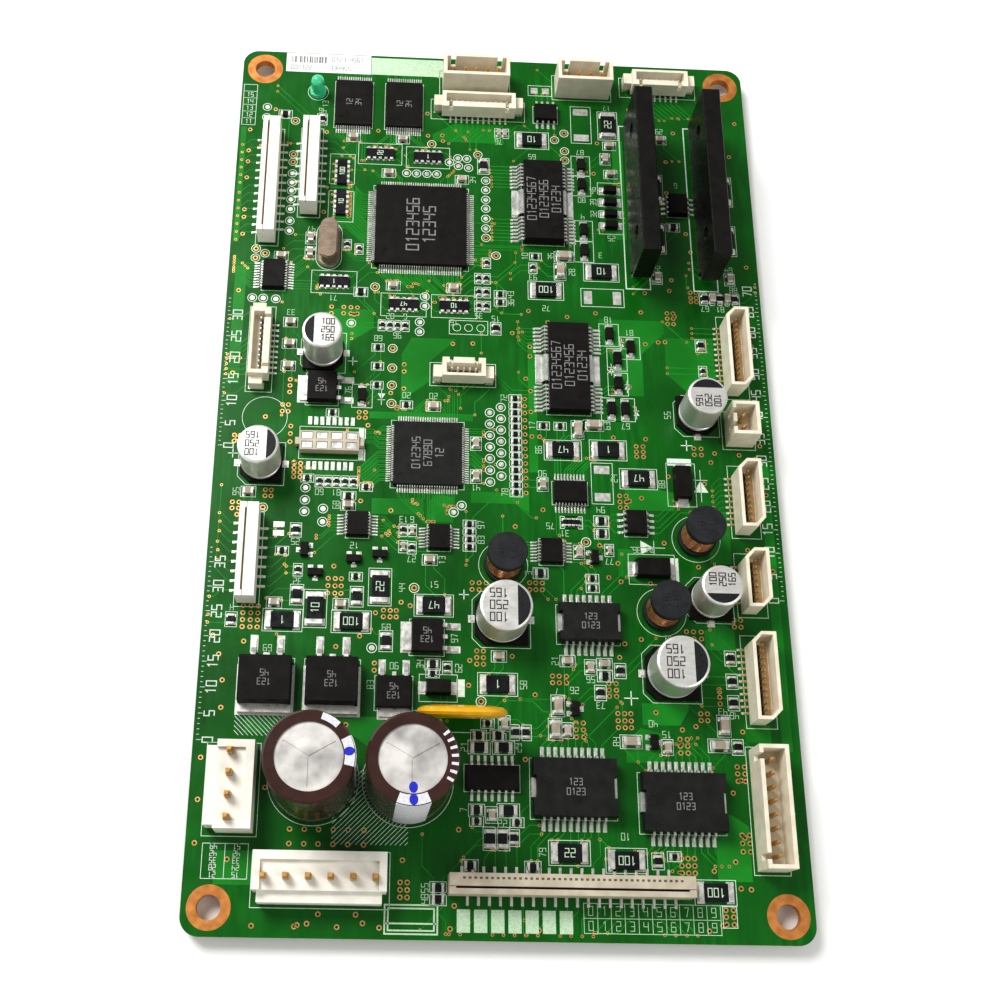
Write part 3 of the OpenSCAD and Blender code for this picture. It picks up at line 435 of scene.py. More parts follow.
def moulded(name, dark, light, low=0.45, high=0.65, grain=0.12, depth=0.01, **sockets):
    """Moulded plastic or resin: two close shades, uneven gloss and a fine grain."""
    finish = Finish(name, **sockets)
    finish.shades(finish.noise(2.5), dark, light)
    finish.roughness(low, high, 1.5)
    return finish.relief(finish.noise(grain, 2.0), depth).material


def tinned(name, dark=(0.50, 0.50, 0.48), light=(0.74, 0.74, 0.71), low=0.22, high=0.42, size=0.6,
           depth=0.012, metallic=0.75):
    """Solder or tin plate: mottled and a little lumpy."""
    finish = Finish(name, metallic=metallic)
    finish.shades(finish.noise(size), dark, light, high=0.65)
    finish.roughness(low, high, size)
    return finish.relief(finish.noise(size * 0.8), depth).material


# Solder mask: a thin clear layer over whatever lies under it
MASK = {"coat": 0.12, "coat_roughness": 0.15, "gloss": 0.2}


def masked(name, dark, light, size=14.0):
    """Glossy solder mask over copper."""
    finish = Finish(name, **MASK)
    finish.shades(finish.noise(size, 2.0), dark, light, 0.35, 0.65)
    finish.roughness(0.28, 0.4, 3.0)
    return finish.relief(finish.noise(0.5, 2.0), 0.004).material


def board_finish():
    """Mask on both faces, sawn glass-epoxy on the edges, and a faint weave under the mask."""
    finish = Finish("board", **MASK)
    patches = finish.ramp(finish.noise(16.0, 2.0),
                          (0.32, (0.003, 0.078, 0.004)), (0.66, (0.005, 0.138, 0.009)))
    streaks = finish.ramp(finish.noise(1.2, 2.0, stretch=(1.0, 0.12, 1.0)),
                          (0.42, 0.0), (0.62, 1.0))
    deep = finish.mix(streaks, patches, (0.003, 0.100, 0.006))
    edge = finish.ramp(finish.noise(0.4), (0.35, (0.36, 0.42, 0.08)), (0.7, (0.56, 0.60, 0.20)))
    finish.colour(finish.mix(facing_up(finish), edge, deep))
    finish.roughness(0.28, 0.42, 4.0)
    weave = finish.noise(0.55, 1.0, stretch=(1.0, 0.35, 1.0))
    return finish.relief(weave, 0.006, 0.4).material


def brushed_can(name, dark, light):
    """Drawn aluminium, with fine scratches round the side and across the top."""
    finish = Finish(name, metallic=0.6)
    scratch = finish.noise(0.5, 3.0, stretch=(0.25, 1.0, 3.0))
    finish.shades(scratch, dark, light, 0.2, 0.8)
    finish.roughness(0.28, 0.42, 1.5)
    return finish.relief(scratch, 0.0015).material


def sleeve_finish():
    """Shrunk plastic sleeve: glossy, slightly rippled."""
    finish = Finish("sleeve", coat=0.5, coat_roughness=0.08)
    finish.shades(finish.noise(5.0), (0.034, 0.012, 0.008), (0.052, 0.019, 0.013))
    finish.roughness(0.22, 0.36, 2.0)
    return finish.relief(finish.noise(2.2, 2.0), 0.04, 0.5).material


def copper_wire_finish():
    finish = Finish("winding", metallic=1.0, coat=0.8, coat_roughness=0.08)
    turns = finish.noise(0.9, 2.0, stretch=(1.0, 1.0, 2.0))
    finish.shades(turns, (0.50, 0.17, 0.06), (0.86, 0.40, 0.20))
    finish.roughness(0.12, 0.3, 0.6)
    return finish.relief(turns, 0.02).material


def contact_finish():
    """Wire sockets' contacts: brass on the right edge, tin plate elsewhere."""
    finish = Finish("contact", metallic=0.6)
    grain = finish.noise(1.2)
    brass = finish.ramp(grain, (0.3, (0.44, 0.26, 0.10)), (0.7, (0.62, 0.42, 0.20)))
    tin = finish.ramp(grain, (0.3, (0.58, 0.58, 0.54)), (0.7, (0.78, 0.77, 0.73)))
    finish.colour(finish.mix(beyond_x(finish, 44.0), tin, brass))
    finish.roughness(0.3, 0.45, 1.2)
    return finish.relief(grain, 0.004).material


def lens_finish():
    finish = Finish("lens", coat=0.4, Transmission_Weight=0.3, IOR=1.5)
    finish.shades(finish.noise(1.2), (0.05, 0.70, 0.34), (0.14, 0.90, 0.48))
    finish.roughness(0.06, 0.16, 0.8)
    return finish.relief(finish.noise(0.9), 0.01).material


def ink(name, dark, light):
    """Printed ink: slightly uneven cover."""
    finish = Finish(name)
    finish.shades(finish.noise(0.35, 4.0), dark, light, high=0.62)
    finish.roughness(0.45, 0.65, 0.5)
    return finish.relief(finish.noise(0.2), 0.006).material


BOARD = board_finish()
POUR = masked("mask_over_pour", (0.007, 0.155, 0.011), (0.012, 0.225, 0.018))
TRACK = masked("mask_over_track", (0.010, 0.200, 0.014), (0.016, 0.280, 0.026), 6.0)
WHITE_INK = ink("white_ink", (0.52, 0.64, 0.52), (0.74, 0.80, 0.72))
PALE_INK = ink("pale_ink", (0.40, 0.58, 0.38), (0.56, 0.72, 0.52))
BLACK_INK = ink("black_ink", (0.008, 0.008, 0.010), (0.020, 0.020, 0.022))
GREY_INK = ink("grey_ink", (0.15, 0.15, 0.145), (0.26, 0.26, 0.25))
PALE_INK_ON_SLEEVE = ink("sleeve_ink", (0.56, 0.56, 0.58), (0.72, 0.72, 0.74))
BLUE_INK = ink("blue_ink", (0.012, 0.016, 0.30), (0.03, 0.04, 0.55))
SOLDER = tinned("solder")
PAD = tinned("tinned_pad", (0.58, 0.58, 0.53), (0.80, 0.79, 0.73), 0.25, 0.45, 0.9, 0.006)
LEAD = tinned("lead", (0.58, 0.58, 0.55), (0.78, 0.78, 0.74), 0.25, 0.4, 1.6, 0.004)
COPPER = tinned("bare_copper", (0.48, 0.19, 0.05), (0.62, 0.27, 0.08), 0.35, 0.5, 1.6, 0.003, 0.6)
GOLD = tinned("gold_plate", (0.52, 0.30, 0.09), (0.70, 0.44, 0.17), 0.3, 0.45, 1.2, 0.004, 0.7)
HOLE = moulded("hole_shade", (0.010, 0.012, 0.008), (0.03, 0.028, 0.02))
RESIN = moulded("black_resin", (0.006, 0.005, 0.004), (0.012, 0.010, 0.008), 0.42, 0.62, gloss=0.15)
GREY_RESIN = moulded("grey_resin", (0.012, 0.012, 0.011), (0.020, 0.020, 0.019), 0.42, 0.6, gloss=0.15)
GLOSS_RESIN = moulded("module_resin", (0.005, 0.005, 0.004), (0.010, 0.009, 0.008), 0.25, 0.42)
FERRITE = moulded("ferrite", (0.018, 0.019, 0.020), (0.032, 0.033, 0.034), 0.5, 0.75, 0.25, 0.012, gloss=0.15)
IVORY = moulded("ivory_nylon", (0.68, 0.62, 0.48), (0.80, 0.75, 0.62), 0.38, 0.55, 0.3, 0.004)
WHITE = moulded("white_nylon", (0.78, 0.75, 0.66), (0.88, 0.86, 0.78), 0.36, 0.52, 0.3, 0.004)
BEIGE = moulded("beige_nylon", (0.44, 0.38, 0.29), (0.56, 0.50, 0.39), 0.4, 0.58, 0.3, 0.004)
# Painted shade: a tan colour for the sheets that stand in for the shade inside the connector slots
SHADE_TAN = moulded("tan_painted_shade", (0.46, 0.30, 0.14), (0.60, 0.42, 0.22), 0.45, 0.6)
TOOTH = moulded("brown_teeth", (0.10, 0.07, 0.045), (0.16, 0.12, 0.08), 0.45, 0.6)
GLAZE = moulded("resistor_glaze", (0.006, 0.006, 0.008), (0.014, 0.014, 0.017), 0.2, 0.4, 0.4, 0.004)
CERAMIC = moulded("tan_ceramic", (0.30, 0.25, 0.19), (0.42, 0.36, 0.28), 0.4, 0.6, 0.2, 0.005)
DISC_COAT = moulded("disc_coating", (0.72, 0.36, 0.010), (0.84, 0.47, 0.015), 0.2, 0.34, 1.5, 0.02,
                    coat=0.4)
RUBBER = moulded("seal_rubber", (0.012, 0.012, 0.012), (0.03, 0.03, 0.03), 0.6, 0.8)
PAPER = moulded("label_paper", (0.80, 0.80, 0.79), (0.90, 0.90, 0.89), 0.55, 0.7, 0.3, 0.01)
CAN = brushed_can("can", (0.62, 0.61, 0.57), (0.78, 0.77, 0.73))
VENT_TOP = tinned("vent_top", (0.42, 0.40, 0.38), (0.78, 0.75, 0.71), 0.3, 0.45, 5.0, 0.01, 0.5)
CRYSTAL = brushed_can("crystal_can", (0.22, 0.16, 0.12), (0.32, 0.25, 0.19))
SLEEVE = sleeve_finish()
WINDING = copper_wire_finish()
LENS = lens_finish()
CONTACT = contact_finish()

NODE_FINISHES = {node: finish for finish, nodes in (
    (BOARD, "circuit_board"), (COPPER, "mounting_pads"), (SOLDER, "solder_joints"),
    (PAPER, "label_sticker"), (VENT_TOP, "bulk_capacitor_cans"), (RUBBER, "bulk_capacitor_seals"),
    (SLEEVE, "bulk_capacitor_sleeves"), (CAN, "reservoir_capacitor_cans"),
    (FERRITE, "inductor_cores"), (WINDING, "inductor_windings"), (CRYSTAL, "crystal_can"),
    (LENS, "status_led_lens"), (DISC_COAT, "surge_disc"), (CERAMIC, "chip_capacitor_bodies"),
    (GOLD, "header_pins"), (CONTACT, "wire_socket_contacts"), (GLOSS_RESIN, "driver_module_bodies"),
    (GREY_RESIN, "gate_array_body motor_driver_bodies"),
    (RESIN, "reservoir_capacitor_bases processor_body memory_bodies stepper_driver_bodies "
            "power_transistor_bodies small_chip_bodies diode_bodies small_transistor_bodies"),
    (GLAZE, "power_resistor_bodies chip_resistor_bodies resistor_array_bodies"),
    (PAD, "power_transistor_tabs power_resistor_caps chip_end_caps resistor_array_terminals"),
    (IVORY, "signal_header_housings wire_socket_housings"),
    (WHITE, "power_header_housings cable_connector_housings "
            "cable_lock_left cable_lock_upper cable_lock_lower"),
    (BEIGE, "filter_block_body wide_connector_housing cable_lock_wide"),
    (LEAD, "reservoir_capacitor_terminals processor_leads gate_array_leads memory_leads "
           "stepper_driver_leads motor_driver_slugs motor_driver_leads driver_module_leads "
           "power_transistor_leads small_chip_leads crystal_base through_hole_legs "
           "diode_terminals small_transistor_leads filter_block_lids cable_connector_contacts"),
) for node in nodes.split()}
# Widths of the rounding on the moulded pieces' edges
BEVELS = {node: width for width, nodes in (
    (0.02, "label_sticker"), (0.05, "small_chip_bodies"),
    (0.06, "power_resistor_bodies chip_end_caps"),
    (0.07, "memory_bodies wire_socket_housings cable_connector_housings wide_connector_housing "
           "cable_lock_left cable_lock_upper cable_lock_lower cable_lock_wide"),
    (0.08, "processor_body gate_array_body stepper_driver_bodies motor_driver_bodies "
           "power_resistor_caps reservoir_capacitor_bases"),
    (0.1, "power_transistor_bodies diode_bodies filter_block_body signal_header_housings"),
    (0.12, "driver_module_bodies"), (0.14, "power_header_housings"),
) for node in nodes.split()}
WELD_REACH = 0.0005
SHARPEST_UNROUNDED = 40


def finish_nodes():
    for node, material in NODE_FINISHES.items():
        piece = frame["nodes"][node]
        piece.data.materials.clear()
        piece.data.materials.append(material)
    for node, width in BEVELS.items():
        piece = frame["nodes"][node]
        weld = piece.modifiers.new("weld", "WELD")
        weld.merge_threshold = WELD_REACH * MM
        bevel = piece.modifiers.new("bevel", "BEVEL")
        bevel.width = width * MM
        bevel.segments = 2
        bevel.limit_method = "ANGLE"
        bevel.angle_limit = math.radians(SHARPEST_UNROUNDED)
        bevel.harden_normals = True


finish_nodes()


# ---------------------------------------------------------------- camera, light and floor

def add_area_light(name, place, aim, size, power, tint=(1, 1, 1)):
    data = bpy.data.lights.new(name, "AREA")
    data.shape = "DISK"
    data.size = size
    data.energy = power
    data.color = tint
    light = bpy.data.objects.new(name, data)
    bpy.context.scene.collection.objects.link(light)
    light.location = place
    offset = np.array(aim) - np.array(place)
    light.rotation_euler = Vector(offset).to_track_quat("-Z", "Y").to_euler()


# The camera was solved from the board's four corners in the photograph
CAMERA_PLACE = (-0.02547, -0.1084, 0.24911)
CAMERA_TURNS = (20.935, -2.723, 0.717)
CAMERA_LENS = 47.13
CAMERA_SHIFT = (0.0765, 0.007)


def set_stage():
    scene = bpy.context.scene
    scene.view_settings.view_transform = "Standard"
    scene.view_settings.look = "Medium High Contrast"
    camera = bpy.data.cameras.new("camera")
    camera.sensor_width = 36
    camera.lens = CAMERA_LENS
    camera.shift_x, camera.shift_y = CAMERA_SHIFT
    camera.clip_start = 0.01
    view = bpy.data.objects.new("camera", camera)
    view.location = CAMERA_PLACE
    view.rotation_euler = [math.radians(a) for a in CAMERA_TURNS]
    scene.collection.objects.link(view)
    scene.camera = view

    world = bpy.data.worlds.new("studio")
    world.use_nodes = True
    world.node_tree.nodes["Background"].inputs["Color"].default_value = (1, 1, 1, 1)
    world.node_tree.nodes["Background"].inputs["Strength"].default_value = 0.38
    scene.world = world
    add_area_light("key", (-0.35, 0.30, 0.55), (0, 0, 0), 0.35, 4.6)
    add_area_light("fill", (0.45, -0.35, 0.45), (0, 0, 0), 0.5, 1.4)

    floor = Finish("floor")
    floor.shades(floor.noise(60.0), 0.90, 0.93)
    floor.roughness(0.6, 0.75, 20.0)
    floor.relief(floor.noise(1.5), 0.01)
    half = 2.0
    mesh = bpy.data.meshes.new("floor")
    mesh.from_pydata([(-half, -half, 0), (half, -half, 0), (half, half, 0), (-half, half, 0)],
                     [], [(0, 1, 2, 3)])
    mesh.materials.append(floor.material)
    plane = bpy.data.objects.new("floor", mesh)
    scene.collection.objects.link(plane)


set_stage()


# ---------------------------------------------------------------- pads under the parts

# How far each pad stands out past the foot on it: along the foot, and beside it
PAD_MARGINS = {
    "processor_leads": (0.35, 0.03), "gate_array_leads": (0.35, 0.03), "memory_leads": (0.35, 0.03),
    "stepper_driver_leads": (0.4, 0.06), "motor_driver_leads": (0.5, 0.15),
    "small_chip_leads": (0.45, 0.05), "power_transistor_tabs": (0.5, 0.4),
    "power_transistor_leads": (0.6, 0.3), "chip_end_caps": (0.3, 0.12),
    "power_resistor_caps": (0.35, 0.25), "resistor_array_terminals": (0.3, 0.06),
    "diode_terminals": (0.4, 0.25), "small_transistor_leads": (0.3, 0.15),
    "reservoir_capacitor_terminals": (0.4, 0.3), "wire_socket_contacts": (0.5, 0.08),
    "cable_connector_contacts": (0.5, 0.12),
}
# Pads of places left empty: (x0, y0, x1, y1)
BARE_PADS = (
    [(18, 82.6, 21.4, 84.4), (18, 75.6, 21.4, 77.4), (19, 33.6, 20.8, 36.8), (25.3, 33.6, 27.1, 36.8),
     (19.8, -11.9, 23, -10.1), (19.8, -5.9, 23, -4.1), (8.4, 88.2, 10, 89.8), (11, 88.2, 12.6, 89.8),
     (-44.8, -21.2, -42.6, -20), (-44.8, -19.4, -42.6, -18.2)]
    + [(-38.9 + 1.25 * i, y, -38.1 + 1.25 * i, y + 1.8) for i in range(8) for y in (3.2, -6.8)])


def along(box, margins):
    """A footprint with its margins along and across its own length."""
    return grown(box, *(margins if lies_along_x(box) else margins[::-1]))


def add_pads():
    pads = Slabs()
    feet = {}
    for node, margins in PAD_MARGINS.items():
        feet[node] = footprints(node)
        for box in feet[node]:
            pad = along(box, margins)
            pads.box(*pad, *PAD_LAYER)
            take(grown(pad, 0.15))
    for box in BARE_PADS:
        pads.box(*box, *PAD_LAYER)
        take(box)
    pads.build("tinned_pads", PAD, "solder")
    return feet


# ---------------------------------------------------------------- vias and test points

# Rings of bare metal: every x of a group with every y of it
VIA_GRIDS = [
    ((-28.5, -27.2), (6.3, 5.1)), ((-44.3, -43.1), (7.5, 6)), ((-42.4,), (2.7, 1, -0.8)),
    ((-53.7, -52.5), (0.3, -1)), ((-43,), (13.3, 11.9, 10.4)), ((-41.3, -40), (-5.5, -6.5, -7.5, -8.5)),
    ((-46.8, -45.6), (-11.5, -12.8)), ((-53.2, -51.9), (-14.3, -15.6)),
    ((-33.5, -32.1, -30.9), (-29.8, -31.3, -32.8)),
    ((-49.7, -48.2, -46.8), (-35.8, -37.2, -38.6, -40)), ((-22.5, -21.2, -20), (-36, -37.3)),
    ((-38.7, -36, -33.4, -30.7, -28, -25.1), (-78, -80.6)),
    ((-55.8,), (-65.3, -73, -80.8)), ((-44.7, -37.1, -29.5, -21.9, -9.2, 6.8), (-95,)),
    ((54.9,), (-65.7, -73.5, -81.2)), ((-55,), (75.2, 69.6, 66.7, 62.5, 54.2, 52.3, 48, 34, 14.4)),
    ((42.3, 43.5), (37.3, 36, 35)), ((36.9, 38.2), (32, 30.7, 29.4)), ((40.8, 42.3), (0.4, -1)),
    ((28.8, 30.2), (0.5, -0.7, -1.8)), ((24.9, 26.2), (-10.6, -11.9, -13.1)),
    ((36.9, 38.3, 39.8), (-38.8, -40.2)), ((46.5, 47.8), (-36.2, -37.6)),
    ((21.2, 22.6), (-49.5, -50.8, -52)), ((22.7, 24, 25.2), (-55.3, -56.7, -58)),
    ((38.7, 40), (-55, -56.3)), ((42.6,), (-50.2, -51.7, -53)), ((34.4, 35.8), (-60, -61.3, -62.6)),
    ((45, 46.4), (-65, -66.3, -67.7)), ((45, 46.4), (-77.6, -79.1, -80.6)),
    ((41, 42.4), (-91, -92.2, -93.5)), ((-18.3, -17), (-87.1, -88.4, -89.7)),
    ((14.6, 16), (-57.3, -58.6, -60)), ((10.3, 11.6, 13), (-48.3, -49.6)),
    ((-5.2, -3.8, -2.4), (-29.9, -31.3)), ((6.2, 7.4, 8.7), (-29.6, -31)),
    ((-4.3, -3), (-43.7, -45, -46.3)), ((5.8,), tuple(10.5 - 1.62 * i for i in range(14))),
    ((-26.6,), (3.4,)), ((-32.5, -31, -29.6), (30.8, 29.3)), ((-35.1,), (30.8, 29.2)),
    ((7.1,), (20.5, 22.8, 12.4, 7.6)), ((7.2, 8.8), (2,)), ((-19.4,), (17.6, 16, 12)),
    ((33.4, 34.6, 35.8), (-82, -83.3, -84.6)), ((24.4,), (-28.9,)), ((20.4,), (-21.4,)),
    ((27.9,), (-40.6,)), ((23.5,), (-44.3,)), ((-24, -22.6), (-46.6, -48)),
]
# Test points: places with a bright centre, and places with an open hole
BRIGHT_POINTS = (
    [(-51.5, 81.5), (-51.5, 78.7), (-52, 32.3), (-49.7, 32.3), (-47, 32.2), (-8.3, 69.7), (-6.3, 69.6),
     (-10.2, 68.5), (-8.2, 67.6), (-5.9, 67.2), (-30.8, 27), (-16.3, 27.8), (-16.3, 25.5), (-15.3, 34),
     (-15.3, 31.7), (-38.8, -10.8), (-38.8, -13.4), (-38.8, -15.9), (-35.1, -15.2), (-35.1, -18),
     (-7.3, -13.7), (-8.9, -15.2), (-24.6, -43.6)]
    + [(-45, y) for y in (64, 61.6, 59.5, 57.2, 54.7, 51.7, 49.2)]
    + [(x, 65.2) for x in (-19.7, -17.5, -15.2, -13)]
    + [(-2.1, y) for y in (64, 61.5, 59, 56.7, 54.1, 51.6)]
    + [(-1.5, 7.1 - 2.58 * i) for i in range(7)] + [(0.8, 8.4 - 2.57 * i) for i in range(7)])
HOLED_POINTS = (
    [(-45, 78), (-45, 69), (-45, 67), (-51.9, 44.4), (-49.9, 43.3), (-51.9, 42.1), (-14.2, 73.2),
     (-3.8, 70.8), (-2.1, 49.2), (0.1, 44.8), (-26, 36), (-47.1, -15.3), (-16.6, -31.3), (-3.5, -53.6),
     (17.7, -20.8), (15.8, 77.5), (13.6, 75.6), (15.8, 72.7), (15.8, 70.2)]
    + [(-21.9, y) for y in (21.3, 16.7, 12.7, 8.5)])
POINT_R = 0.95
# Small vias are tried at this many random places
SCATTERED_VIAS = 500
# Half the side of the free square that a small via needs, and of the one that it takes up
VIA_CLEAR = 0.7
VIA_ROOM = 0.6


def square(x, y, reach):
    return x - reach, y - reach, x + reach, y + reach


def add_vias(track_ends):
    places = [(x, y) for xs, ys in VIA_GRIDS for x in xs for y in ys]
    for _ in range(SCATTERED_VIAS):
        x = random.uniform(-BOARD_X + 2, BOARD_X - 2)
        y = random.uniform(-BOARD_Y + 2, BOARD_Y - 2)
        if is_free(square(x, y, VIA_CLEAR)):
            places.append((x, y))
            take(square(x, y, VIA_ROOM))
    rings, holes = Slabs(), Slabs()
    for x, y in places:
        take(square(x, y, VIA_ROOM))
    for centres, outer, inner, ring_sides, hole_sides in (
            (places, 0.5, 0.26, 16, 12), (track_ends, 0.32, 0.15, 12, 10),
            (HOLED_POINTS, 0.6, 0.32, 18, 14)):
        for x, y in centres:
            rings.ring(x, y, outer, inner, *RING_LAYER, ring_sides)
            holes.disc(x, y, inner - 0.01, *HOLE_LAYER, hole_sides)
    rings.build("via_rings", GOLD, "gold_plate")
    holes.build("via_holes", HOLE, "black_moulding")


def add_test_points(white):
    centres = Slabs()
    for x, y in BRIGHT_POINTS:
        centres.disc(x, y, 0.55, *RING_LAYER, 18)
    for x, y in BRIGHT_POINTS + HOLED_POINTS:
        white.ring(x, y, POINT_R + 0.08, POINT_R - 0.08, *INK_LAYER, 24)
        take(square(x, y, 1.1))
    centres.build("test_point_centres", PAD, "solder")


# ---------------------------------------------------------------- copper under the mask

# Areas of copper that show lighter through the mask, as corner lists
POURS = [
    [(40.4, -42.4), (46.4, -42.4), (46.4, -38.4), (44, -37), (40.4, -38.6)],
    [(26, -13.6), (36, -13.6), (36, -9.6), (32.6, -8.9), (26, -8.9)],
    [(24, -27.6), (30, -30), (30, -24.6), (26.6, -22), (24, -22)],
    [(42.6, -24.6), (47, -24.6), (47, -13.4), (44.4, -13.4), (42.6, -16)],
    [(54, -62), (56, -62), (56, -2), (54, -2)],
    [(24, -64.6), (31, -64.6), (31, -59), (27, -58), (24, -60.6)],
    [(27.4, -57.4), (34.6, -57.4), (36.4, -54.4), (36.4, -53.2), (27.4, -53.2)],
    [(47, -60.4), (52, -60.4), (52, -57), (47, -57)],
    [(40, -86), (46.4, -86), (46.4, -76), (43.4, -74), (40, -74)],
    [(-52, -88), (-44.6, -88), (-44.6, -82), (-52, -82)],
    [(-22, -64.6), (-28, -60.4), (-48, -60.4), (-48, -57), (-22, -57)],
    [(-14, -17.4), (-9, -17.4), (-9, -12), (-12.4, -11.4), (-14, -13)],
    [(-5.4, -13), (4, -13), (6.4, -15), (6.4, -10.6), (-5.4, -10.6)],
    [(-20, 9), (-14, 14), (-14, 18.6), (-8.4, 24), (-18, 24), (-20, 20)],
    [(-26.4, 6.6), (-5, 6.6), (-5, 5), (-26.4, 5)],
    [(6.6, -6), (8.4, -6), (8.4, 24), (6.6, 24)],
    [(22, 30), (36, 30), (36, 27), (31, 22), (31, 12), (27.4, 12), (22, 27)],
    [(36, 26), (46.4, 26), (46.4, 13.4), (40, 13.4), (36, 17.4)],
    [(17, 84.6), (26, 84.6), (26, 88), (17, 88)],
    [(-14, 74), (2, 74), (2, 79), (-9, 79), (-14, 76)],
    [(-56, 12), (-53.6, 12), (-53.6, 40), (-56, 40)],
    [(-40, 28), (-34, 30.4), (-26, 30.4), (-26, 26), (-31, 22.6), (-31, 15.6), (-29.4, 14), (-40, 14)],
    [(-25.4, -16), (-15, -16), (-15, -12.6), (-25.4, -12.6)],
    [(-57, 46), (-55.8, 46), (-55.8, 76), (-57, 76)],
    [(26.6, 50), (29, 50), (29, 76), (26.6, 76)],
]
TRACK_WIDTH = 0.17
# Cells that a track may run over its own pad before the way must be free
PAD_CELLS = 5
# Cells that tracks keep from the board's edge, and the cells in the shortest one that is kept
EDGE_CELLS = 5
SHORTEST_TRACK = 10
# Neighbouring feet whose tracks run side by side
BUNDLE = 7
# Steps to the eight neighbouring cells, turning anticlockwise
STEPS = [(1, 0), (1, 1), (0, 1), (-1, 1), (-1, 0), (-1, -1), (0, -1), (1, -1)]


def grow_track(x, y, heading, plan):
    """Follows a plan of (cells, turn) from a point until it ends or the way is taken."""
    path = [cell(x, y)]
    for length, turn in plan:
        heading = (heading + turn) % len(STEPS)
        for _ in range(length):
            i, j = path[-1][0] + STEPS[heading][0], path[-1][1] + STEPS[heading][1]
            on_board = all(EDGE_CELLS <= k < size - EDGE_CELLS - 1
                           for k, size in zip((i, j), taken.shape))
            if not on_board or (len(path) > PAD_CELLS and taken[i, j]):
                return path
            path.append((i, j))
    return path


def corners_of(path):
    """The path's ends and the cells where it turns, in millimetres."""
    kept = [path[0]]
    for before, here, after in zip(path, path[1:], path[2:]):
        if (here[0] - before[0], here[1] - before[1]) != (after[0] - here[0], after[1] - here[1]):
            kept.append(here)
    kept.append(path[-1])
    return [((i + 0.5) * CELL - BOARD_X, (j + 0.5) * CELL - BOARD_Y) for i, j in kept]


def add_tracks(feet):
    """Fans tracks out from the chips' feet, neighbours side by side, each to a via."""
    tracks = Slabs()
    ends = []
    for node in ("processor_leads", "gate_array_leads", "memory_leads", "small_chip_leads",
                 "stepper_driver_leads", "motor_driver_leads", "cable_connector_contacts",
                 "wire_socket_contacts", "resistor_array_terminals", "chip_end_caps"):
        boxes = parts(node, gap=1.4)
        for count, foot in enumerate(feet[node]):
            x, y = centre(foot)
            home = min(boxes, key=lambda b: math.dist(centre(b), (x, y)))
            hx, hy = centre(home)
            if lies_along_x(foot):
                heading, x = (0, foot[2]) if x > hx else (4, foot[0])
            else:
                heading, y = (2, foot[3]) if y > hy else (6, foot[1])
            if count % BUNDLE == 0:
                plan = [(random.randint(4, 10), 0), (random.randint(4, 24), random.choice((-1, 0, 1))),
                        (random.randint(4, 30), random.choice((-1, 0, 1)))]
            path = grow_track(x, y, heading, plan)
            if len(path) >= SHORTEST_TRACK:
                line = corners_of(path)
                tracks.line(line, TRACK_WIDTH, *TRACK_LAYER)
                for i, j in path[PAD_CELLS:]:
                    taken[i, j] = True
                ends.append(line[-1])
    tracks.build("tracks", TRACK, "solder_mask")
    return ends


def add_pours():
    pours = Slabs()
    for outline in POURS:
        area = sum(a[0] * b[1] - b[0] * a[1] for a, b in zip(outline, outline[1:] + outline[:1]))
        pours.prism(outline if area > 0 else outline[::-1], *POUR_LAYER)
    pours.build("copper_pours", POUR, "solder_mask")


# ---------------------------------------------------------------- white printing

# Width of the printed lines
LINE = 0.12


class Printing(Slabs):
    """Marks printed on the board."""

    def draw(self, path, closed=False, width=LINE):
        self.line(path, width, *INK_LAYER, closed)

    def frame(self, box, width=LINE):
        self.draw(rectangle(*box), True, width)

    def fill(self, *box):
        self.box(*box, *INK_LAYER)

    def round(self, x, y, r, sides=40):
        self.ring(x, y, r + LINE / 2, r - LINE / 2, *INK_LAYER, sides)

    def number(self, text, x, y, height=1.3, angle=0, stroke=0.11):
        write_number(self, text, x, y, height, angle, *INK_LAYER, stroke)


# Parts with a plain frame printed round them: its distance, and the nodes that make the part
FRAMED = (
    (0.5, "chip_resistor_bodies", "chip_capacitor_bodies", "chip_end_caps"),
    (0.65, "power_resistor_bodies", "power_resistor_caps"), (1.65, "resistor_array_bodies"),
    (1.25, "diode_bodies"), (0.25, "small_chip_bodies"), (0.25, "stepper_driver_bodies"),
    (0.25, "motor_driver_bodies"), (0.25, "memory_bodies"), (0.35, "power_transistor_bodies"),
    (0.6, "signal_header_housings"), (0.6, "power_header_housings"),
    (0.6, "wire_socket_housings"), (0.6, "cable_connector_housings"))


def part_outlines(white):
    for margin, *nodes in FRAMED:
        for box in parts(*nodes):
            white.frame(grown(box, margin))
    for box in parts("reservoir_capacitor_bases"):
        x0, y0, x1, y1 = grown(box, 0.5)
        cut = 1.8
        white.draw([(x0 + cut, y0), (x1, y0), (x1, y1), (x0 + cut, y1), (x0, y1 - cut), (x0, y0 + cut)],
                   True)
    for box in parts("inductor_cores"):
        white.round(*centre(box), 4.9)
    for box in parts("bulk_capacitor_sleeves"):
        white.round(*centre(box), 8.5, 64)
    for box in parts("driver_module_bodies"):
        white.frame(grown(box, 0.7), 0.25)
    x, y = centre(parts("crystal_base")[0])
    white.draw(circle(x, y + 3.2, 2.75, 17, 0, 180) + circle(x, y - 3.2, 2.75, 17, 180, 180), True)
    white.round(*centre(parts("status_led_lens")[0]), 2.3)
    x, y = centre(parts("surge_disc")[0])
    white.frame((x - 9, y - 2, x + 9, y + 2))


def corner_marks(white):
    for node in ("processor_body", "gate_array_body"):
        x0, y0, x1, y1 = grown(parts(node)[0], 0.5)
        for x, y, sx, sy in ((x0, y0, 1, 1), (x1, y0, -1, 1), (x1, y1, -1, -1), (x0, y1, 1, -1)):
            white.draw([(x + sx * 1.2, y), (x, y), (x, y + sy * 1.2)])


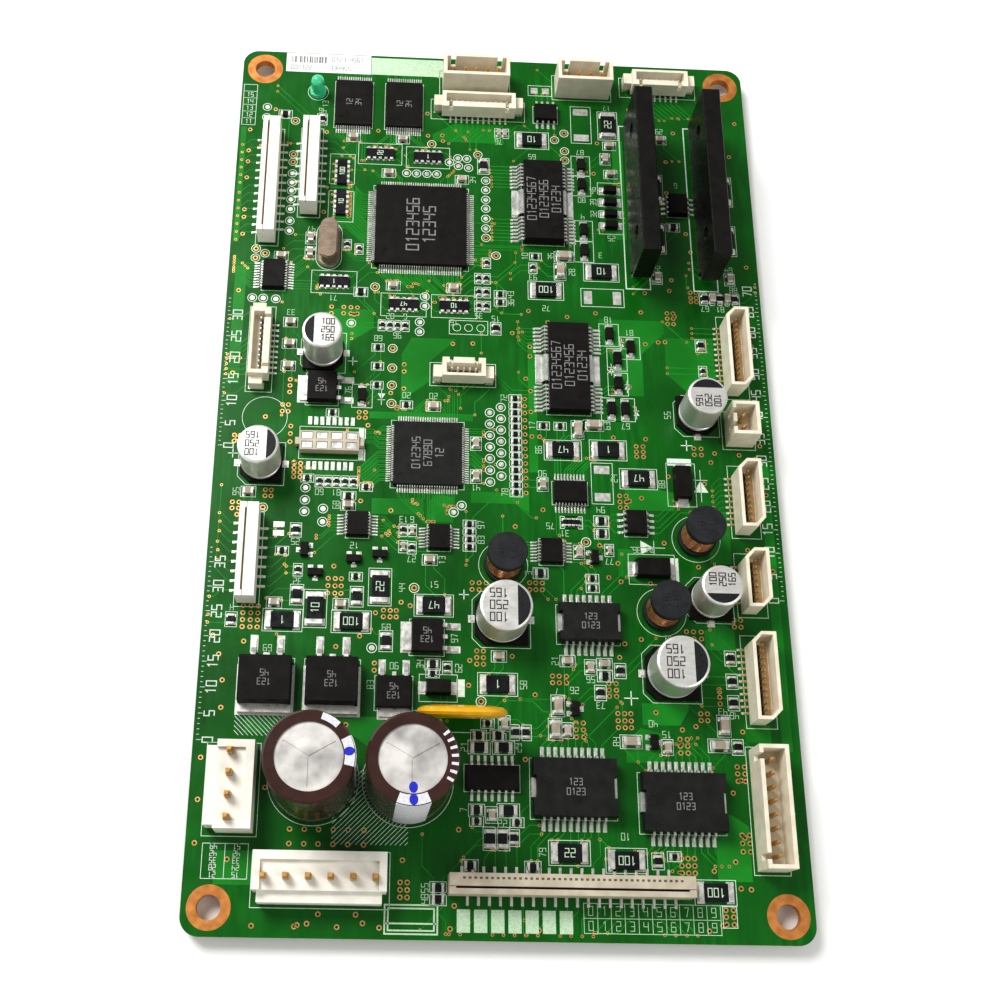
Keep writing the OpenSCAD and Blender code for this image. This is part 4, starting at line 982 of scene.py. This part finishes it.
# Parts with a number beside them, and how far from the body it stands
NUMBERED = (
    ("chip_resistor_bodies", 1.0), ("chip_capacitor_bodies", 1.0), ("resistor_array_bodies", 1.9),
    ("power_resistor_bodies", 1.9), ("diode_bodies", 1.5), ("small_transistor_bodies", 1.3),
    ("small_chip_bodies", 2.2), ("memory_bodies", 1.5), ("reservoir_capacitor_bases", 1.0),
    ("power_transistor_bodies", 1.5))


def part_numbers(white):
    """A plain number beside each part that has a free side."""
    count = 1
    height = 1.25
    for node, margin in NUMBERED:
        for box in parts(node):
            text = str(count % 97 + 3)
            count += 7
            x, y = centre(box)
            half = number_width(text, height) / 2
            x0, y0, x1, y1 = grown(box, margin + height / 2 + 0.2)
            for px, py, angle in ((x, y1, 180), (x, y0, 180), (x0, y, 90), (x1, y, 90)):
                wide, high = (half, height / 2) if angle == 180 else (height / 2, half)
                room = (px - wide - 0.1, py - high - 0.1, px + wide + 0.1, py + high + 0.1)
                if is_free(room):
                    white.number(text, px, py, height, angle)
                    take(room)
                    break


def number_grid(white):
    """Two rows of boxes numbered from 0, by the wide connector."""
    x0, x1, low, high = 15, 40, -95.4, -90.2
    white.frame((x0, low, x1, high))
    white.draw([(x0, (low + high) / 2), (x1, (low + high) / 2)])
    for i in range(10):
        x = x0 + 2.5 * i
        if i:
            white.draw([(x, low), (x, high)])
        for row in (0, 1):
            white.number(str(i), x + 1.25, low + 1.3 + 2.6 * row, 1.6)


def side_scales(white):
    """Numbered measuring scales where the board carries its lettering."""
    for x, y_from, y_to, side in ((-56.9, -62, -24, 1), (-56.9, -2, 32, 1), (56.9, -32, 40, -1)):
        for i in range(int(y_to - y_from) + 1):
            size = 0.9 if i % 5 == 0 else 0.45
            white.draw([(x, y_from + i), (x + side * size, y_from + i)])
            if i % 5 == 0:
                white.number(str(i), x + side * 2.1, y_from + i, 1.9, 90, 0.22)


def hatch(white, box, step, slope):
    """Parallel lines at 45 degrees that fill a box; slope is 1 for rising lines, -1 for falling."""
    x0, y0, x1, y1 = box
    tall = y1 - y0
    x = x0 - tall + step
    while x < x1 - 0.3:
        start, end = max(x, x0), min(x + tall, x1)
        rise = [y0 + start - x, y0 + end - x]
        if slope < 0:
            rise = [y0 + y1 - y for y in rise]
        white.draw([(start, rise[0]), (end, rise[1])])
        x += step


def small_tables(white):
    """Boxed tables of numbers and the hatched fields."""
    white.frame((-57, 76.5, -54, 87.5))
    for i in range(1, 6):
        white.draw([(-57, 76.5 + 1.83 * i), (-54, 76.5 + 1.83 * i)], width=0.1)
        white.number(str(10 + i), -55.5, 75.6 + 1.83 * i, 1.1)
    white.frame((-54.3, -87, -46, -80.8))
    white.draw([(-50.2, -87), (-50.2, -80.8)])
    for i in range(5):
        white.number(str(21 + 7 * i), -52.3, -86.3 + 1.25 * i, 0.95, 180)
        white.number(str(15 + 9 * i), -48.1, -86.3 + 1.25 * i, 0.95, 180)
    hatch(white, (-31, -80.6, -17, -67), 0.9, 1)
    hatch(white, (-50, -61, -38, -57), 0.9, -1)


def write_on_fields(white):
    """Blank fields to write on, along both short edges, and an open frame."""
    for i in range(2):
        white.frame((-21 + 0.6 * i, -96 + 0.6 * i, -11.5 - 0.6 * i, -91 - 0.6 * i), 0.3)
    white.draw([(-21, -94.2), (-11.5, -94.2)], width=0.3)
    for i in range(7):
        white.fill(-8 + 3.1 * i, -95.6, -5.6 + 3.1 * i, -91.6)
    white.fill(-28.3, 91.7, -11.8, 96.4)


def polarity_marks(white):
    """Diode symbols, plus signs, white cathode blocks and empty places."""
    for x, y, size in ((-30.2, 18, 1), (-53.8, -3.7, 1), (-6.8, -32.4, 1), (25.4, -52.3, 1.4),
                       (39.3, 1, 1.2), (43.5, -25.7, 0.9)):
        white.draw([(x - size, y), (x + size, y)], width=0.2)
        white.draw([(x, y - size), (x, y + size)], width=0.2)
    for box in ((35, -3.6, 40, -2), (34.5, -28.7, 36.1, -23.7), (-8.2, -52.8, -6.6, -49.4),
                (-28.4, 0.3, -27, 2.6), (-28.4, -4.6, -27, -2)):
        white.fill(*box)
    for x, y, size, angle in ((30, -21.6, 1.5, 0), (41.7, -8, 1.5, 90), (23.9, 27.6, 0.6, 90),
                              (26.7, 24, 0.6, 90), (29.2, 8, 0.6, 90), (27.5, 14, 0.6, 90),
                              (24.3, 18, 0.6, 90), (-24, 10, 0.8, -90)):
        points = [turned(u * size, v * size, angle) for u, v in ((-0.9, -1), (0.8, 0), (-0.9, 1))]
        white.prism([(x + u, y + v) for u, v in points], *INK_LAYER)
        for path in (((0.9, -1), (0.9, 1)), ((-2.3, 0), (2.4, 0))):
            ends = [turned(u * size, v * size, angle) for u, v in path]
            white.draw([(x + u, y + v) for u, v in ends])
    for box in ((17.4, 75, 22, 85), (18.4, 33, 27.7, 37.4), (19.2, -12.5, 23.6, -3.5),
                (7.8, 87.6, 13.2, 90.4), (-10, 25.2, -1.8, 28.5), (-40.5, -4.5, -27.3, 2.7),
                (40.4, -94.1, 43, -90.4)):
        white.frame(box)
    white.round(-47.8, 4.5, 4.6, 48)
    for x in (-8.4, -5.9, -3.3):
        white.round(x, 26.8, 0.85, 20)


# How far marks reach into a part, and how far they stand out of the label and the small cans
MARK_SUNK = 0.02
LABEL_PROUD = 0.02
CAN_PROUD = 0.012


def print_on(slabs, text, x, y, height, angle, top, stroke, proud=0.01):
    """Numerals on a part whose upper face is at top."""
    write_number(slabs, text, x, y, height, angle, top - MARK_SUNK, top + proud, stroke)


def label_print(black):
    """Bars and short lines on the paper label."""
    low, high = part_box("label_sticker")
    x0, y0, top = low.x / MM, low.y / MM, high.z / MM
    x = x0 + 1.2
    while x < x0 + 9:
        width = random.choice((0.15, 0.25, 0.4))
        black.box(x, y0 + 2.6, x + width, y0 + 4.4, top - MARK_SUNK, top + LABEL_PROUD)
        x += width + random.choice((0.15, 0.2, 0.35))
    for text, dx, dy in (("0123", 12, 3.8), ("4567", 16, 3.8), ("001122", 3.5, 1.3),
                         ("334455", 12.4, 1.3)):
        print_on(black, text, x0 + dx, y0 + dy, 1.1, 0, top, 0.13, LABEL_PROUD)


# ---------------------------------------------------------------- marks on the parts

# The way each small electrolytic's black segment faces, by the x of its centre
SEGMENT_TURNS = {-47.9: 0, -36.4: 180, 0.5: 0, 33.5: 0, 41.7: 90, 41.9: -90}


def reservoir_tops():
    """Black segment and numbers on each small electrolytic."""
    black = Slabs()
    for points in solids("reservoir_capacitor_cans"):
        x, y, top = crown(points)
        r = radius(points) - 0.55
        turn = min(SEGMENT_TURNS.items(), key=lambda item: abs(item[0] - x))[1]
        arc = [turned(u, v, turn) for u, v in circle(0, 0, r, 22, -62, 124)]
        black.prism([(x + u, y + v) for u, v in arc], top - MARK_SUNK, top + CAN_PROUD)
        for row, text in enumerate(("100", "250", "165")):
            dx, dy = turned(-r * 0.32, (row - 1) * r * 0.52, turn)
            print_on(black, text, x + dx, y + dy, r * 0.36, turn + 180, top, 0.2, CAN_PROUD)
    black.build("capacitor_marks", BLACK_INK, "black_moulding")


# Width of the sleeve's rim that folds over a bulk capacitor's top
RIM_W = 1.9


def bulk_marks():
    """Pale patches over the bulk capacitors' rims, with blue ink and grey bars."""
    pale, blue = Slabs(), Slabs()
    cans = solids("bulk_capacitor_cans")
    for number, points in enumerate(solids("bulk_capacitor_sleeves")):
        x, y, top = crown(points)
        r = radius(points)
        low = float(points[:, 2].min())
        can_top = float(cans[number][:, 2].max())
        facing, half = ((8, 20), (-88, 22))[number]

        def rim(start, sweep, inside):
            sides = 2 + int(sweep / 3)
            pale.band(circle(x, y, inside, sides, start, sweep),
                      circle(x, y, r - 0.2, sides, start, sweep), top - 0.1, top + 0.015, False)

        rim(facing - half, 2 * half, r - RIM_W)
        pale.band(circle(x, y, r - 0.1, 15, facing - half, 2 * half),
                  circle(x, y, r + 0.04, 15, facing - half, 2 * half), low + 1, top - 0.3, False)
        bars = ([(48, 26)], [(-30 + 11 * i, 4) for i in range(7)])[number]
        for start, sweep in bars:
            rim(start, sweep, r - RIM_W + 0.5)
        for reach, height in (((0.86, top),), ((0.86, top), (0.6, can_top)))[number]:
            u, v = turned(r * reach, 0, facing)
            blue.prism(oval(x + u, y + v, 0.95, 0.75, facing), height - 0.1, height + 0.03)
    pale.build("sleeve_stripes", PALE_INK_ON_SLEEVE, "grey_moulding")
    blue.build("ink_dots", BLUE_INK, "grey_moulding")


def oval(x, y, a, b, angle, sides=20):
    points = [turned(a * math.cos(t), b * math.sin(t), angle)
              for t in (2 * math.pi * i / sides for i in range(sides))]
    return [(x + u, y + v) for u, v in points]


def wound_coils():
    """Each coil's copper wire, wound turn by turn between its flanges."""
    verts, faces = [], []
    wire = 0.34
    around, across = 48, 8
    for points in solids("inductor_windings"):
        x, y, top = crown(points)
        r = radius(points) - wire
        low = float(points[:, 2].min())
        turns = int((top - low) / (2 * wire))
        pitch = (top - low) / turns
        for k in range(turns):
            z = low + pitch * (k + 0.5)
            first = len(verts)
            for i in range(around):
                a = 2 * math.pi * i / around
                for j in range(across):
                    b = 2 * math.pi * j / across
                    d = r + wire * math.cos(b)
                    verts.append(((x + d * math.cos(a)) * MM, (y + d * math.sin(a)) * MM,
                                  (z + wire * math.sin(b)) * MM))
            for i in range(around):
                for j in range(across):
                    i1, j1 = (i + 1) % around, (j + 1) % across
                    faces.append([first + i * across + j, first + i1 * across + j,
                                  first + i1 * across + j1, first + i * across + j1])
    mesh = bpy.data.meshes.new("coil_windings")
    mesh.from_pydata(verts, [], faces)
    mesh.shade_smooth()
    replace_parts(add_piece("coil_windings", mesh, WINDING), "inductor_windings")


# Wire sockets that lie past this x get a tan sheet of painted shade low in their slot
RIGHT_ROW_X = 45


def connector_insides():
    """Tan sheets of painted shade in the wire sockets and cable slots, and the teeth along the wide lock."""
    shade_sheets, teeth = Slabs(), Slabs()
    for box in parts("wire_socket_housings"):
        x0, y0, x1, y1 = grown(box, -0.9)
        if x0 > RIGHT_ROW_X:
            # Painted shade: a tan sheet low in the slot of each socket on the right edge
            shade_sheets.box(x0 + 1.9, y0, x1, y1, DECK + 1.7, DECK + 1.83)
    for box in parts("cable_connector_housings"):
        x = box[0] + 1.2
        # Painted shade: a tan strip down each cable slot
        shade_sheets.box(x - 0.17, box[1] + 1.3, x + 0.17, box[3] - 1.3, DECK + 3.4, DECK + 4.4)
    shade_sheets.build("connector_painted_shade", SHADE_TAN, "beige_nylon")
    low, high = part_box("cable_lock_wide")
    x0, x1, y, top = low.x / MM, high.x / MM, high.y / MM - 0.9, high.z / MM
    for i in range(int(x1 - x0) - 4):
        teeth.box(x0 + 2.4 + i, y - 0.2, x0 + 2.9 + i, y + 0.2, top - 0.05, top + 0.01)
    teeth.build("lock_teeth", TOOTH, "beige_nylon", "cable_lock_wide")


def hole_barrels():
    """Copper plating down each mounting hole."""
    barrels = Slabs()
    mount = next(m for m in frame["record"]["mounts"] if m["kind"] == "bolt_pattern")
    half_x, half_y = mount["dims"]["spacing_x_mm"] / 2, mount["dims"]["spacing_y_mm"] / 2
    r = mount["dims"]["hole_r_mm"]
    for x in (-half_x, half_x):
        for y in (-half_y, half_y):
            barrels.ring(x, y, r + 0.01, r - 0.06, UNDERSIDE, DECK, 48)
    barrels.build("hole_barrels", COPPER, "bare_copper")


# Numerals on the chips: rows, their height, the step between rows, angle and stroke width
CHIP_ROWS = {
    "processor_body": (("0123456", "12345"), 2.6, 3.6, 90, 0.3),
    "gate_array_body": (("012345", "67890", "12"), 1.6, 2.4, 90, 0.2),
    "memory_bodies": (("12", "34"), 1.3, 2, 90, 0.16),
    "stepper_driver_bodies": (("01234567", "0123456", "01234"), 1.9, 2.7, 90, 0.2),
    "motor_driver_bodies": (("123", "0123"), 1.2, 1.8, 0, 0.16),
    "power_transistor_bodies": (("123", "45"), 1.2, 1.7, 180, 0.15),
}


def chip_marks():
    """Rows of plain numerals on the chips, and darker ones on the coils' ends."""
    grey = Slabs()
    for node, (texts, height, step, angle, stroke) in CHIP_ROWS.items():
        for points in solids(node):
            x, y, top = crown(points)
            for i, text in enumerate(texts):
                u, v = turned(0, ((len(texts) - 1) / 2 - i) * step, angle)
                print_on(grey, text, x + u, y + v, height, angle, top, stroke, 0.008)
    grey.build("chip_marks", GREY_INK, "grey_moulding")
    dark = Slabs()
    for points in solids("inductor_cores"):
        x, y, top = crown(points)
        for text, dx in (("013", 1), ("181", -1)):
            print_on(dark, text, x + dx, y, 1.5, -90, top, 0.22)
    dark.build("coil_marks", BLACK_INK, "black_moulding")


def resistor_values():
    """Plain numbers on the large resistors and the arrays."""
    white = Slabs()
    values = ("1", "10", "100", "22", "47")
    for node, height in (("power_resistor_bodies", 1.5), ("resistor_array_bodies", 1.0)):
        for i, points in enumerate(solids(node)):
            x, y, top = crown(points)
            angle = 180 if lies_along_x(outline_box(points)) else 90
            print_on(white, values[i % len(values)], x, y, height, angle, top, 0.17)
    white.build("resistor_values", PALE_INK, "paper_label")


# ---------------------------------------------------------------- put together

def dress_board():
    for box in footprints("mounting_pads"):
        take(grown(box, 0.4))
    for points in solids("header_pins"):
        take(grown(outline_box(points), 0.6))
    feet = add_pads()
    white, pale, black = Printing(), Printing(), Slabs()
    add_test_points(white)
    ends = add_tracks(feet)
    for node in NODE_FINISHES:
        if node not in ("circuit_board", "solder_joints"):
            for points in solids(node):
                take(grown(outline_box(points), 0.1))
    add_vias(ends)
    add_pours()
    part_outlines(white)
    corner_marks(white)
    small_tables(white)
    number_grid(pale)
    side_scales(white)
    write_on_fields(pale)
    polarity_marks(white)
    part_numbers(pale)
    white.build("white_printing", WHITE_INK, "paper_label")
    pale.build("pale_printing", PALE_INK, "paper_label")
    label_print(black)
    black.build("label_print", GREY_INK, "grey_moulding")
    reservoir_tops()
    bulk_marks()
    wound_coils()
    connector_insides()
    hole_barrels()
    chip_marks()
    resistor_values()


dress_board()
